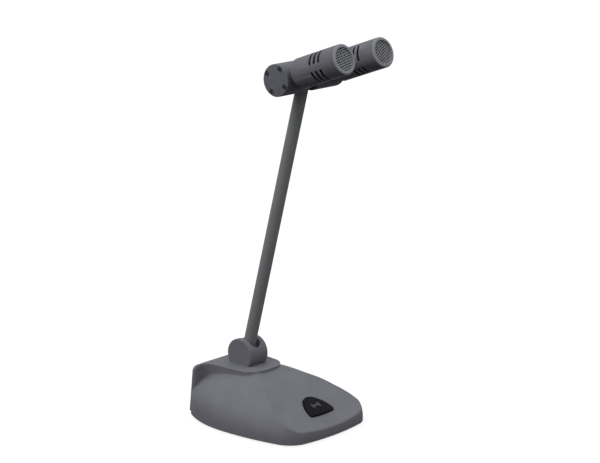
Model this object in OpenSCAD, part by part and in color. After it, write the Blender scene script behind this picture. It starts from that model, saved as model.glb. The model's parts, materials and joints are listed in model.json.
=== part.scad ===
// Desk microphone: a wedge base with a talk key, a straight stem on a friction hinge,
// and a crossbar that carries two slotted capsules.
// The origin is on the table, straight below the hinge axis. The front is toward -Y.

/* [Base casting] */
// Half width of the base at its widest place
base_half = 55.5; // [54:0.5:60]
// How far the base reaches in front of the hinge axis
base_front = 94; // [92:0.5:100]
// How far the base reaches behind the hinge axis
base_rear = 28; // [27:0.5:31]
// How far in front of the hinge axis the base is widest
wide_at = 21; // [18:0.5:24]
// Radius of the side in plan, in front of the widest place
side_front_r = 212; // [200:2:240]
// Radius of the side in plan, behind the widest place
side_rear_r = 78; // [76:1:90]
// Radius of the front edge in plan
front_r = 190; // [170:2:220]
// Rounding of the front corners in plan
front_corner_r = 10; // [8:0.5:13]
// Rounding of the back corners in plan
rear_corner_r = 8; // [6:0.5:10]
// Height of the flat top above the table
top_h = 39.5; // [38.5:0.5:42]
// Height of the front lip above the table
lip_h = 9.4; // [9:0.2:11]
// Angle of the sloping front, from the lip to the top
slope_tilt = 21.5; // [20.5:0.5:23]
// How far the sloping front swells above a straight line
slope_crown = 2.5; // [1:0.1:3]
// Wall of the casting
wall = 3; // [2.6:0.1:3.4]
// Roof of the casting under the hinge
roof_t = 3.5; // [3:0.1:4]
// Gap between the casting and the table
base_gap = 1; // [0.6:0.1:1.3]
// Height of the swelling side 40 mm in from its edge, at the front
swell_front = 34.9; // [33.5:0.2:36]
// Height of the swelling side 40 mm in from its edge, at the back
swell_rear = 37.4; // [36.4:0.2:38.2]
// How slowly the side climbs at the front, where 1 is a straight ramp
climb_front = 0.36; // [0.33:0.01:0.4]
// How slowly the side climbs at the back
climb_rear = 0.25; // [0.22:0.01:0.3]

/* [Raised tongue and rear panel] */
// How far the tongue reaches in front of the hinge axis
tongue_front = 24.5; // [22:0.5:26]
// Half width of the tongue at its front corners
tongue_half = 20.6; // [18:0.2:23]
// Rounding of the front corners of the tongue
tongue_r = 9; // [6:0.5:10]
// Angle at which each side of the tongue flares toward the back
tongue_flare = 6; // [0:0.5:8]
// Radius of the hollow corner between the tongue and the rear panel
hollow_r = 6; // [4:0.5:7]
// Half width of the rear panel
panel_half = 38; // [36:0.5:40]
// Front face of the rear panel, behind the hinge axis
panel_front = 22; // [21.6:0.1:22.6]
// Back face of the rear panel at its top, behind the hinge axis
panel_back = 24.5; // [24:0.1:26]

/* [Base plate and pad] */
// Thickness of the rubber pad
pad_t = 1.5; // [1.3:0.1:1.8]
// Thickness of the steel plate
plate_t = 2; // [1.6:0.1:2.2]
// Distance of the plate's edge from the edge of the base
plate_inset = 5; // [4.8:0.1:6]
// Distance of the pad's edge from the edge of the base
pad_inset = 6; // [5.5:0.1:8]
// Diameter of the screw bosses
boss_d = 8; // [7:0.1:9]
// Length of the plate's screws
plate_screw_len = 7.5; // [6:0.1:8]

/* [Hinge] */
// Height of the hinge axis above the flat top
pivot_rise = 8; // [7.9:0.1:8.5]
// Radius of the hinge barrel
barrel_r = 12.6; // [12:0.1:13.4]
// Length of the hinge barrel
barrel_len = 20; // [19.4:0.2:24]
// Radius of the eye at the foot of the stem
foot_eye_r = 7.6; // [7.2:0.1:7.6]
// Diameter of the hinge pin
pin_d = 6; // [5:0.1:6.2]
// Diameter of the head of the hinge pin
pin_head_d = 9; // [8:0.1:9.4]
// Thickness of the head of the hinge pin
pin_head_t = 2.4; // [2:0.1:2.8]
// How deep the threaded end of the hinge pin goes into the far cheek
pin_grip = 3; // [2.4:0.1:3.4]
// Thickness of each friction washer of the hinge
hinge_washer_t = 0.5; // [0.4:0.05:0.7]
// Radius of each friction washer of the hinge
hinge_washer_r = 7.3; // [6.5:0.1:7.4]
// Distance of the hinge screws from the axis, along Y
hinge_screw_y = 5; // [4.8:0.1:5.6]
// How deep the hinge screws go into the barrel
hinge_screw_grip = 4.5; // [3:0.1:5]

/* [Stem] */
// Diameter of the stem tube
stem_d = 10; // [9:0.1:10.4]
// Bore of the stem tube
stem_bore = 7.5; // [7:0.1:8]
// Distance from the hinge axis to the crossbar axis
stem_len = 239; // [200:1:260]
// Forward lean of the stem at rest
stem_lean = 13.7; // [5:0.1:25]
// Furthest forward lean of the stem
lean_front = 35; // [30:1:36]
// Furthest backward lean of the stem
lean_back = 30; // [20:1:32]
// Where the tube starts, above the hinge axis
tube_start = 11; // [10.5:0.1:13]
// Length of the spigots inside the tube
spigot_len = 14; // [10:0.5:20]
// Diameter of the lead in the stem
lead_d = 2; // [1.6:0.1:2.2]

/* [Crossbar] */
// Radius of the crossbar
cross_r = 12.4; // [12.2:0.1:13.4]
// Bore radius of the crossbar
cross_bore_r = 7.7; // [7.5:0.05:7.8]
// Half length of the crossbar with its end caps
cross_half = 33; // [31.5:0.5:37]
// Thickness of each end cap
cap_t = 3; // [2.6:0.1:3.6]
// Depth of the spigot behind each end cap
cap_spigot = 3; // [2:0.1:3.2]
// Distance of the cap screws from the crossbar axis
cap_screw_r = 9.75; // [9.7:0.05:9.9]
// Diameter of the recess round each cap screw
cap_recess_d = 4.4; // [4:0.1:4.6]
// Depth of the recess round each cap screw
cap_recess_t = 1.9; // [1.6:0.1:2.1]
// Length of the cap screws
cap_screw_len = 6; // [5:0.1:6.5]
// Rise of the capsules above the level at rest
head_rise = 21; // [10:0.5:30]
// How far the head nods down from rest
nod_down = 45; // [30:1:50]
// How far the head tips up from rest
nod_up = 15; // [5:1:18]

/* [Head bearing] */
// Radius of the eye at the head of the stem
head_eye_r = 6.4; // [6:0.1:6.6]
// Width of the eye at the head of the stem
head_eye_w = 11.6; // [11:0.1:12]
// Diameter of the spindle
spindle_d = 5; // [4.4:0.1:5.2]
// Thickness of each friction washer of the head
head_washer_t = 1; // [0.8:0.1:1.2]
// Radius of each friction washer of the head
head_washer_r = 4.8; // [4.2:0.1:4.9]
// Length of each bearing block
block_len = 6; // [5:0.1:6.4]
// Height of the flat on each bearing block above the axis
block_flat = 4.6; // [4.2:0.1:4.7]
// Thickness of the spindle nuts
nut_t = 3.4; // [3:0.1:3.5]
// Width of the spindle nuts across the flats
nut_w = 8; // [7.5:0.1:8.2]

/* [Capsules] */
// Distance of each capsule axis from the middle of the crossbar
cap_x = 22.25; // [22.2:0.05:23.5]
// Radius of the capsule sleeves
sleeve_r = 11.75; // [11.3:0.05:11.9]
// Wall of the sleeves
sleeve_wall = 1.75; // [1.5:0.05:1.8]
// Distance of the back of each sleeve from the crossbar axis
sleeve_back = 17.5; // [16:0.1:19]
// Distance of the front of each sleeve tube from the crossbar axis
sleeve_front = 59; // [58.8:0.1:63]
// Thickness of the back wall of each sleeve
sleeve_floor = 3; // [2:0.1:4]
// Diameter of the necks
neck_d = 12; // [10:0.1:13]
// Depth of the seat of each neck, from the crossbar axis
neck_seat = 10; // [9.6:0.1:10.4]
// Diameter of the threads at both ends of each neck
neck_thread_d = 8; // [7.4:0.1:8.6]
// Bore of the necks
neck_bore = 5; // [4:0.1:5.4]
// Thickness of the neck nuts
neck_nut_t = 2; // [1.6:0.1:2.2]
// Diameter of the neck nuts
neck_nut_d = 11; // [10.4:0.1:11.4]
// Distance of the first row of slots from the crossbar axis
slot_first = 37.6; // [37:0.1:38.5]
// Pitch of the rows of slots
slot_pitch = 4.45; // [4:0.05:4.8]
// Width of the slots
slot_w = 1.7; // [1.2:0.1:2]
// Arc of each slot
slot_arc = 65; // [50:1:75]
// Turn of the slots of the right capsule
right_turn = 21.5; // [0:0.5:45]
// Thickness of the screen behind the slots
screen_t = 0.4; // [0.3:0.05:0.6]
// Radius of the capsules
capsule_r = 8.5; // [8:0.1:8.8]
// Length of the capsules
capsule_len = 7; // [6:0.1:7]
// Thickness of the foam discs
foam_t = 3; // [2:0.1:3]
// Length of each front ring
ring_len = 3.5; // [3.3:0.1:5]
// Radius of the opening in each front ring
mouth_r = 9; // [8.6:0.1:9.1]
// Rounding of the outer edge of each front ring
ring_round = 1.4; // [0.6:0.1:1.6]
// Pitch of the square mesh of the grilles
mesh_pitch = 1.45; // [1.3:0.05:1.8]
// Width of the wires of the grilles
mesh_wire = 0.55; // [0.4:0.05:0.7]
// Thickness of the grilles
grille_t = 0.6; // [0.5:0.05:0.8]
// Turn of the grilles, inward on each side
grille_turn = 20; // [0:1:45]

/* [Talk key] */
// Distance of the key's front edge from the front lip, along the slope
key_set = 13.1; // [12.5:0.1:15]
// Half width of the key at its widest place
key_half = 13.5; // [12.5:0.1:14.2]
// Distance from the front edge of the key to its widest place
key_wide = 0.5; // [0.3:0.1:1.5]
// Radius of the long sides of the key
key_side_r = 24.5; // [23:0.25:26]
// Radius of the front edge of the key
key_front_r = 90; // [60:1:120]
// Rounding of the back point of the key
key_point_r = 6; // [5:0.1:7]
// Rounding of the front corners of the key
key_corner_r = 1.2; // [1:0.1:2]
// How far the key stands above the slope
key_proud = 0.9; // [0.8:0.1:1.6]
// Travel of the key
key_travel = 1; // [0.6:0.1:1.1]
// Gap round the key
key_gap = 0.35; // [0.3:0.05:0.5]
// Overhang of the flange that keeps the key in
key_flange = 1.6; // [1.2:0.1:1.8]
// Thickness of the flange that keeps the key in
key_flange_t = 0.8; // [0.6:0.1:0.9]
// Length of the post under the key
post_len = 1.5; // [1.3:0.1:1.6]

/* [Switch] */
// Width of the switch across the base
switch_w = 12; // [10:0.5:14]
// Depth of the switch along the slope
switch_d = 10; // [8:0.5:10]
// Height of the switch
switch_t = 4.5; // [4.4:0.1:4.6]
// Diameter of the plunger
plunger_d = 3.2; // [2.6:0.1:3.6]
// Length of the plunger
plunger_len = 3; // [2.8:0.1:3.1]
// Distance of the bracket screws from the middle
bracket_x = 20; // [19.6:0.1:22]
// Thickness of the bracket
bracket_t = 1.2; // [1:0.1:1.3]
// How far the bracket reaches past its screws
bracket_over = 4; // [3:0.1:4.5]
// How deep the bracket screws go into their bosses
bracket_grip = 5; // [4:0.1:5.5]
// Distance of the switch behind the front edge of the key, along the slope
switch_set = 10.5; // [10:0.1:12]

/* [Board and transformer] */
// Half width of the board
board_half = 26; // [24:0.5:28]
// Front edge of the board, in front of the hinge axis
board_front = 52; // [49:0.5:53]
// Back edge of the board, in front of the hinge axis
board_back = 14; // [13:0.5:16]
// Thickness of the board
board_t = 1.6; // [1.2:0.1:2]
// Height of the standoffs
standoff_h = 4; // [3:0.1:5]
// Distance of the board's screws from its edges
board_edge = 3.5; // [3.2:0.1:5]
// Diameter of the large capacitors
capacitor_d = 6.3; // [5:0.1:7]
// Height of the large capacitors
capacitor_h = 8; // [6:0.1:9]
// Distance between the capacitors
capacitor_pitch = 10; // [8:0.1:11]
// Distance of the capacitors from the front edge of the board
capacitor_set = 12; // [10:0.1:14]
// Distance of the transformer to the left of the middle
trans_x = 23; // [21:0.5:24]
// Width of the transformer's core
core_w = 21; // [20:0.5:22]
// Height of the transformer's core
core_h = 18; // [16:0.5:19]
// Depth of the core's stack
core_d = 8; // [6:0.5:9]
// Width of the middle leg of the core
core_leg = 7; // [6:0.5:7]
// How far the winding stands out in front of and behind the core
coil_out = 3.5; // [2.5:0.1:3.8]

/* [Rear socket] */
// Height of the socket's axis above the table
socket_h = 19; // [18:0.5:20]
// Depth of the flat seat of the socket below the back edge of the top
socket_seat = -0.4; // [-0.6:0.1:-0.2]
// Width of the socket's flange
flange_w = 29; // [28:0.5:32]
// Height of the socket's flange
flange_h = 20; // [19.5:0.5:21]
// Thickness of the socket's flange
flange_t = 1.6; // [1.4:0.1:2]
// Outer radius of the socket's tube
socket_r = 8.6; // [8.4:0.1:9]
// Inner radius of the socket's tube
socket_in_r = 7.6; // [7.4:0.1:7.8]
// Depth of the socket's tube behind its flange
socket_depth = 11; // [10.5:0.1:11.5]
// Radius of the insulating core
insert_r = 6.5; // [6.3:0.1:6.6]
// Depth of the insulating core behind the flange
insert_depth = 10; // [9:0.1:10.4]
// Depth of the ring-shaped gap round the insulating core
insert_gap = 6; // [5:0.5:7]
// Radius of the circle of contacts
contact_circle = 3.5; // [3.3:0.1:3.6]
// Diameter of the contacts
contact_d = 1.5; // [1.3:0.1:1.6]
// How far the tails of the contacts reach behind the flange
contact_tail = 13; // [12:0.1:13.5]
// Half distance between the socket's screws
socket_screw_x = 11.2; // [11:0.1:12]

/* [Clearances] */
// How much wider the drilled ends of the swing slots are than the slots
slot_relief = 0.4; // [0.3:0.1:0.6]
// Clearance of running and push fits, all round
fit = 0.05; // [0.03:0.01:0.08]
// Clearance beside parts that swing
air = 0.4; // [0.35:0.05:0.5]
// Clearance in front of parts that stop
stop = 0.3; // [0.25:0.05:0.35]

/* [Hidden] */
$fn = 64;
paint = "#6f7077";
dark_paint = "#5d5e63";
black = "#202124";
steel = "#9a9ca0";
brass = "#b08d4a";
copper = "#a8643c";
rubber = "#2a2a2c";
board_green = "#2f5a3a";
foam_grey = "#3a3a3c";
far = 300;
eps = 0.01;
plan_mid = [0, -30];
swell_span = 40;
plate_top = pad_t + plate_t;
pivot_h = top_h + pivot_rise;
slot_room = stem_d + 2 * air;
cheek_gap = slot_room + 4 * fit;
foot_w = cheek_gap - 2 * (hinge_washer_t + 2 * fit);
eye_room_r = foot_eye_r + 2 * stop;
eye_way = foot_eye_r + 0.7 * stop;
stem_side = stem_lean + head_rise;
lead_slant = 35;
head_at = [0, -stem_len * sin(stem_lean), pivot_h + stem_len * cos(stem_lean)];
tube_end = stem_len - head_eye_r - 2;
tube_half = cross_half - cap_t;
block_in = head_eye_w / 2 + head_washer_t + 4 * fit;
block_out = block_in + block_len;
spindle_half = block_out + fit + nut_t + 1;
m2 = 2;
m25 = 2.5;
m3 = 3;
slope_run = (top_h - lip_h) / tan(slope_tilt);
key_mid = key_set + 0.75 * key_half;
key_y = key_mid * cos(slope_tilt) - base_front;
key_tilt = atan(tan(slope_tilt) + 4 * slope_crown / slope_run * (1 - 2 * (key_y + base_front) / slope_run));
key_sag = 4 * slope_crown * pow((key_mid - key_set + key_flange) / slope_run, 2);
flange_z = -(wall * cos(key_tilt) + key_sag + stop);
key_base_z = flange_z - key_flange_t;
post_z = key_base_z - post_len;
switch_z = post_z - key_travel - stop;
switch_s = key_set + switch_set;
bracket_z = switch_z - switch_t;
board_z = plate_top + standoff_h;
socket_y = panel_back - socket_seat;
sleeve_in_r = sleeve_r - sleeve_wall;
holder_r = sleeve_in_r - 2 * fit;
ring_front = sleeve_front + ring_len;
grille_z = ring_front - 0.9 - grille_t;
capsule_z = sleeve_front - 2 - capsule_len;
plate_bosses = [[40, -12], [30, 14], [33, -72]];

// Plan of the base: how far a point lies in from each edge
function side_in(p) =
    let (r = p.y < -wide_at ? side_front_r : side_rear_r)
    r - norm([abs(p.x) + r - base_half, p.y + wide_at]);
function front_in(p) = front_r - norm([p.x, p.y + base_front - front_r]);
function round_min(a, b, r) = a < r && b < r ? r - norm([r - a, r - b]) : min(a, b);
function skirt_in(p) = round_min(side_in(p), front_in(p), front_corner_r);
function base_in(p, back) = round_min(skirt_in(p), back - p.y, rear_corner_r);

// Distance from a middle point, in one direction, to where a test turns false
function reach(inside, middle, dir, near = 0, out = 200, steps = 32) =
    steps == 0 ? near :
    let (mid = (near + out) / 2)
    inside(middle + mid * dir)
        ? reach(inside, middle, dir, mid, out, steps - 1)
        : reach(inside, middle, dir, near, mid, steps - 1);
function outline(inside, middle, count) = [
    for (i = [0:count - 1])
        let (dir = [cos(360 * i / count), sin(360 * i / count)])
        middle + reach(inside, middle, dir) * dir
];
function base_outline(inset) = outline(function(p) base_in(p, panel_back) > inset, plan_mid, 72);

// Height of the swelling side and of the cap that cuts it
function ease(t) = let (c = min(max(t, 0), 1)) c * c * (3 - 2 * c);
function mix(a, b, t) = a + (b - a) * t;
function swell(y) = mix(swell_front, swell_rear, ease((y + 42) / 28));
function climb(y) = mix(climb_front, climb_rear, ease((y + 37) / 49));
function side_z(p, inset) =
    base_gap + max(1.5, swell(p.y) * pow(max(skirt_in(p) - inset, 0) / swell_span, climb(p.y)));
function slope_z(y) =
    let (t = min(max((y + base_front) / slope_run, 0), 1))
    lip_h + (y + base_front) * tan(slope_tilt) + 4 * slope_crown * t * (1 - t);
function cap_z(p) = min(slope_z(p.y), top_h);

// Solid under the swelling side and the slope, set in by an inset and lowered by a drop
module dome(inset, back, drop, floor_z, count, steps, inner_steps) {
    dirs = [for (i = [0:count - 1]) [cos(360 * i / count), sin(360 * i / count)]];
    edge = [for (d = dirs) reach(function(p) base_in(p, back) > inset, plan_mid, d)];
    crease = [for (i = [0:count - 1])
        reach(function(p) side_z(p, inset) > cap_z(p), plan_mid, dirs[i], 0, edge[i])];
    rings = [
        for (k = [-1:steps + inner_steps]) [
            for (i = [0:count - 1])
                let (t = min(max(k, 0) / steps, 1),
                     left = 1 - max(k - steps, 0) / (inner_steps + 1),
                     p = plan_mid + left * mix(edge[i], crease[i], t * t) * dirs[i])
                [p.x, p.y, k < 0 ? floor_z : min(side_z(p, inset), cap_z(p)) - drop]
        ]
    ];
    last = (steps + inner_steps + 1) * count;
    points = concat(
        [for (ring = rings) each ring],
        [[plan_mid.x, plan_mid.y, cap_z(plan_mid) - drop], [plan_mid.x, plan_mid.y, floor_z]]
    );
    faces = concat(
        [for (k = [0:steps + inner_steps], i = [0:count - 1])
            let (a = k * count + i, b = k * count + (i + 1) % count)
            each [[a, a + count, b + count], [a, b + count, b]]],
        [for (i = [0:count - 1]) [last + count, last + (i + 1) % count, last + i]],
        [for (i = [0:count - 1]) [last + count + 1, i, (i + 1) % count]]
    );
    polyhedron(points, faces);
}

// Places
// Plane that touches the slope at the middle of the key, with y along it from the front
module in_slope() {
    translate([0, key_y, slope_z(key_y)]) rotate([key_tilt, 0, 0]) translate([0, -key_mid, 0]) children();
}
module in_hinge() {
    translate([0, 0, pivot_h]) children();
}
module in_stem() {
    in_hinge() rotate([stem_lean, 0, 0]) children();
}
module in_head() {
    translate(head_at) rotate([-head_rise, 0, 0]) children();
}
module in_capsule(side) {
    in_head() translate([side * cap_x, 0, 0]) rotate([90, 0, 0]) children();
}
module in_socket() {
    translate([0, socket_y, socket_h]) rotate([-90, 0, 0]) children();
}
module both_sides() {
    children();
    mirror([1, 0, 0]) children();
}

// Shapes that repeat
module rod(r, from, to) {
    translate([from, 0, 0]) rotate([0, 90, 0]) cylinder(r = r, h = to - from);
}
module disc(r, from, to) {
    translate([0, 0, from]) cylinder(r = r, h = to - from);
}
module hoop(r, hole_r, from, to) {
    difference() {
        disc(r, from, to);
        disc(hole_r, from - 1, to + 1);
    }
}
// Room swept by a rod that swings about X, with angles from +Z toward -Y.
// Its two round ends are drilled a little wider than the slot, from the near radius on,
// which lies inside a room that is cut already.
module swept_slot(width, from, to, near, length) {
    for (a = [from, to]) {
        rotate([a, 0, 0]) translate([0, 0, near]) cylinder(d = width + slot_relief, h = length - near);
    }
    rotate([90, 0, 90]) linear_extrude(height = width, center = true)
        polygon([[0, 0], length * [-sin(from), cos(from)], length * [-sin(to), cos(to)]]);
}
// Screw with its seat at z = 0, its shank below and its head above
module pan_screw(d, length) {
    difference() {
        union() {
            disc(d / 2, -length, eps);
            disc(0.95 * d, 0, 0.6 * d);
        }
        translate([0, 0, 0.25 * d]) cylinder(d = 0.9 * d, h = d, $fn = 6);
    }
}
// Screw with the top of its cone at z = 0 and its shank below
module flat_screw(d, length) {
    difference() {
        union() {
            disc(d / 2, -length, -eps);
            translate([0, 0, -0.5 * d]) cylinder(r1 = d / 2, r2 = d, h = 0.5 * d);
        }
        translate([0, 0, -0.3 * d]) cylinder(d = 0.9 * d, h = d, $fn = 6);
    }
}
// Tube along a list of points, with eight sides; beside is never along the tube
module tube(points, d, beside) {
    last = len(points) - 1;
    rings = [for (i = [0:last])
        let (run = points[min(i + 1, last)] - points[max(i - 1, 0)],
             along = run / norm(run),
             out = cross(along, beside) / norm(cross(along, beside)),
             up = cross(out, along))
        for (j = [0:7]) points[i] + d / 2 * (cos(45 * j) * out + sin(45 * j) * up)];
    faces = concat(
        [[for (j = [0:7]) j]],
        [for (i = [0:last - 1], j = [0:7])
            let (a = 8 * i + j, b = 8 * i + (j + 1) % 8)
            each [[a, a + 8, b + 8], [a, b + 8, b]]],
        [[for (j = [7:-1:0]) 8 * last + j]]
    );
    polyhedron(rings, faces);
}
// Smooth run of points through a few chosen ones
function bend(p, n) = concat(
    [for (i = [0:len(p) - 2], k = [0:n - 1])
        let (t = k / n, a = p[max(i - 1, 0)], b = p[i], c = p[i + 1], d = p[min(i + 2, len(p) - 1)])
        b + 0.5 * t * ((c - a) + t * (2 * a - 5 * b + 4 * c - d + t * (3 * b - 3 * c + d - a)))],
    [p[len(p) - 1]]
);

// Base
function tongue_side(y, inset) =
    let (mid_x = tongue_half - tongue_r, mid_y = -tongue_front + tongue_r, r = tongue_r - inset)
    mid_x + r * cos(tongue_flare) + (y - mid_y + r * sin(tongue_flare)) * tan(tongue_flare);
module tongue_plan(inset, back) {
    mid = [tongue_half - tongue_r, -tongue_front + tongue_r];
    r = tongue_r - inset;
    half = concat(
        [for (i = [0:8]) let (a = mix(-90, -tongue_flare, i / 8)) mid + r * [cos(a), sin(a)]],
        [[tongue_side(back, inset), back]]
    );
    both_sides() polygon(concat([[0, back], [0, -tongue_front + inset]], half));
}
module hollow_corner() {
    mid = [tongue_side(panel_front - hollow_r, 0) + hollow_r / cos(tongue_flare), panel_front - hollow_r];
    side_y = mid.y + hollow_r * sin(tongue_flare);
    difference() {
        polygon([
            [tongue_side(side_y, 1), side_y],
            [tongue_side(side_y, 0), side_y],
            [mid.x, panel_front],
            [mid.x, panel_front + 1],
            [tongue_side(side_y, 1), panel_front + 1]
        ]);
        translate(mid) circle(r = hollow_r);
    }
}
module tongue_block() {
    translate([0, 0, base_gap]) linear_extrude(height = top_h - base_gap) {
        tongue_plan(0, panel_front + 1);
        both_sides() hollow_corner();
    }
}
module rear_panel() {
    translate([-panel_half, panel_front, base_gap])
        cube([2 * panel_half, base_rear - panel_front, top_h - base_gap]);
}
// Everything behind the leaning back face
module behind_base() {
    rotate([90, 0, 90]) linear_extrude(height = far, center = true)
        polygon([
            [base_rear, base_gap],
            [panel_back, top_h],
            [panel_back - 1, top_h + 1],
            [base_rear + far, top_h + 1],
            [base_rear + far, base_gap - 1],
            [base_rear, base_gap - 1]
        ]);
}
module boss_room() {
    both_sides() {
        for (p = plate_bosses) {
            translate([p.x, p.y, plate_top]) cylinder(d = boss_d, h = top_h);
        }
        in_slope() translate([bracket_x, switch_s, bracket_z]) cylinder(d = 2.4 * m25, h = top_h);
    }
}
module base_cavity() {
    difference() {
        union() {
            dome(wall, panel_back, wall, -1, 48, 5, 4);
            linear_extrude(height = top_h - roof_t) tongue_plan(wall, panel_back - wall);
        }
        boss_room();
    }
}
module base_shell() {
    color(paint) difference() {
        union() {
            dome(0, base_rear, 0, base_gap, 72, 7, 5);
            tongue_block();
            rear_panel();
        }
        behind_base();
        base_cavity();
        in_slope() translate([0, 0, -2 * wall]) linear_extrude(height = 4 * wall) key_plan(-key_gap);
        both_sides() {
            for (p = plate_bosses) {
                translate([p.x, p.y, plate_top - 1]) cylinder(d = m3 + 2 * fit, h = 8);
            }
            in_slope() translate([bracket_x, switch_s, bracket_z])
                disc(m25 / 2 + fit, -1, bracket_grip + stop);
            in_socket() translate([socket_screw_x, 0, -2 * wall])
                cylinder(d = m3 + 2 * fit, h = 4 * wall);
        }
        disc(slot_room / 2 - 1, top_h - 2 * roof_t, top_h + 1);
        hinge_screw_places() disc(m3 / 2 + fit, -2 * roof_t, 1);
        in_socket() {
            disc(socket_r + fit, -2 * wall, 1);
            translate([-flange_w / 2 - stop, -flange_h / 2 - stop, 0])
                cube([flange_w + 2 * stop, flange_h + 2 * stop, 10]);
        }
    }
}
module base_plate() {
    color(steel) difference() {
        translate([0, 0, pad_t]) linear_extrude(height = plate_t) polygon(base_outline(plate_inset));
        both_sides() for (p = plate_bosses) {
            translate([p.x, p.y, pad_t]) {
                disc(m3 / 2 + fit, -1, plate_t + 1);
                translate([0, 0, -eps]) cylinder(r1 = m3 + fit, r2 = m3 / 2 + fit, h = 0.5 * m3);
            }
        }
    }
}
module base_pad() {
    color(rubber) linear_extrude(height = pad_t) polygon(base_outline(pad_inset));
}
module plate_screws() {
    color(steel) both_sides() for (p = plate_bosses) {
        translate([p.x, p.y, pad_t + eps]) mirror([0, 0, 1]) flat_screw(m3, plate_screw_len);
    }
}

// Hinge
module hinge_screw_places() {
    cheek_x = (cheek_gap + barrel_len) / 4;
    for (sx = [-1, 1], sy = [-1, 1]) {
        translate([sx * cheek_x, sy * hinge_screw_y, top_h]) children();
    }
}
module hinge_barrel() {
    color(paint) difference() {
        in_hinge() difference() {
            rod(barrel_r, -barrel_len / 2, barrel_len / 2);
            translate([-far / 2, -far / 2, -pivot_rise - far]) cube(far);
            rod(eye_room_r, -cheek_gap / 2, cheek_gap / 2);
            translate([-cheek_gap / 2, -eye_way, -barrel_r]) cube([cheek_gap, 2 * eye_way, barrel_r]);
            swept_slot(slot_room, -lean_back, lean_front, eye_room_r - 2, 1.6 * barrel_r);
            rod(pin_d / 2 + fit, -cheek_gap / 2 - pin_grip - stop, barrel_len);
            rod(pin_head_d / 2 + 2 * fit, barrel_len / 2 - pin_head_t - stop, barrel_len);
        }
        hinge_screw_places() disc(m3 / 2 + fit, -1, hinge_screw_grip + stop);
    }
}
module hinge_screws() {
    color(steel) hinge_screw_places()
        translate([0, 0, -roof_t]) mirror([0, 0, 1]) pan_screw(m3, roof_t + hinge_screw_grip);
}
module hinge_pin() {
    color(steel) in_hinge() difference() {
        union() {
            rod(pin_d / 2, -cheek_gap / 2 - pin_grip, barrel_len / 2 - stop);
            rod(pin_head_d / 2, barrel_len / 2 - pin_head_t - stop, barrel_len / 2 - stop);
        }
        translate([barrel_len / 2 - stop - 1.6, 0, 0]) rotate([0, 90, 0]) cylinder(d = 4.6, h = 5, $fn = 6);
    }
}
module hinge_washers() {
    color(black) in_hinge() both_sides() difference() {
        rod(hinge_washer_r, foot_w / 2 + fit, foot_w / 2 + fit + hinge_washer_t);
        rod(pin_d / 2 + 2 * fit, 0, barrel_len);
    }
}

// Stem
module stem_tube() {
    color(paint) in_stem() hoop(stem_d / 2, stem_bore / 2, tube_start, tube_end);
}
// Straight way for the lead past a pin, from the middle of the stem to the front of the eye
module lead_way(side, height, r) {
    translate([0, 0, side * height]) rotate([-side * lead_slant, 0, 0])
        translate([0, 0, side > 0 ? -3 * height : 0]) cylinder(r = r, h = 3 * height);
}
module stem_foot() {
    color(paint) in_stem() difference() {
        union() {
            rod(foot_eye_r, -foot_w / 2, foot_w / 2);
            cylinder(d = foot_w, h = foot_eye_r + stop);
            disc(stem_d / 2, foot_eye_r + stop, tube_start);
            disc(stem_bore / 2 - fit, tube_start - 1, tube_start + spigot_len);
        }
        rod(pin_d / 2 + fit, -foot_w, foot_w);
        disc(lead_d / 2 + stop, foot_eye_r + 1, far);
        lead_way(1, foot_eye_r + 1.2, lead_d / 2 + stop);
    }
}
module stem_head() {
    color(paint) in_stem() translate([0, 0, stem_len]) difference() {
        union() {
            rod(head_eye_r, -head_eye_w / 2, head_eye_w / 2);
            disc(stem_d / 2, tube_end - stem_len, -head_eye_r / 2);
            disc(stem_bore / 2 - fit, tube_end - stem_len - spigot_len, tube_end - stem_len + 1);
        }
        rod(spindle_d / 2 + fit, -head_eye_w, head_eye_w);
        disc(lead_d / 2 + stop, -far, -head_eye_r - 0.6);
        lead_way(-1, head_eye_r + 1, lead_d / 2 + stop);
    }
}
module stem_lead() {
    low = foot_eye_r + 1.2;
    high = stem_len - head_eye_r - 1;
    run = [0, -sin(lead_slant), cos(lead_slant)];
    color(black) in_stem() tube([
        [0, 1.5 * foot_eye_r * run.y, low - 1.5 * foot_eye_r * run.z],
        [0, 0, low],
        [0, 0, stem_len / 2],
        [0, 0, high],
        [0, 0, high] + 1.2 * head_eye_r * run
    ], lead_d, [1, 0, 0]);
}

// Crossbar and its bearing
module crossbar() {
    color(paint) in_head() difference() {
        rod(cross_r, -tube_half, tube_half);
        rod(cross_bore_r, -far, far);
        mirror([0, 0, 1])
            swept_slot(slot_room, -stem_side - nod_up, -stem_side + nod_down, 0, 1.6 * cross_r);
        both_sides() {
            translate([cap_x, 0, 0]) rotate([90, 0, 0]) {
                disc(neck_d / 2 + fit, neck_seat, far);
                disc(neck_thread_d / 2 + fit, 0, far);
            }
            in_block_hole() disc(m3 / 2 + fit, 0, far);
            cap_screw_places(0) rod(m2 / 2 + fit, -cap_screw_len, 1);
        }
    }
}
// Places of the cap screws on the right end, set in or out along the crossbar
module cap_screw_places(out) {
    for (k = [0:3]) {
        rotate([45 + 90 * k, 0, 0]) translate([tube_half + out, 0, cap_screw_r]) children();
    }
}
module end_cap() {
    difference() {
        union() {
            rod(cross_r, tube_half, cross_half);
            rod(cross_bore_r - fit, tube_half - cap_spigot, tube_half + 1);
        }
        rod(cross_bore_r - 1.5, 0, tube_half);
        cap_screw_places(0) rod(m2 / 2 + fit, -1, far);
        cap_screw_places(cap_t - cap_recess_t) rod(cap_recess_d / 2, 0, far);
    }
}
module cap_screws() {
    cap_screw_places(cap_t - cap_recess_t) difference() {
        union() {
            rod(m2 / 2, -cap_screw_len, 1);
            rod(0.9 * m2, 0, cap_recess_t - stop);
        }
        translate([0.5, 0, 0]) rotate([0, 90, 0]) cylinder(d = 0.9 * m2, h = far, $fn = 6);
    }
}
module left_end_cap() {
    color(dark_paint) in_head() mirror([1, 0, 0]) end_cap();
}
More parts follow.
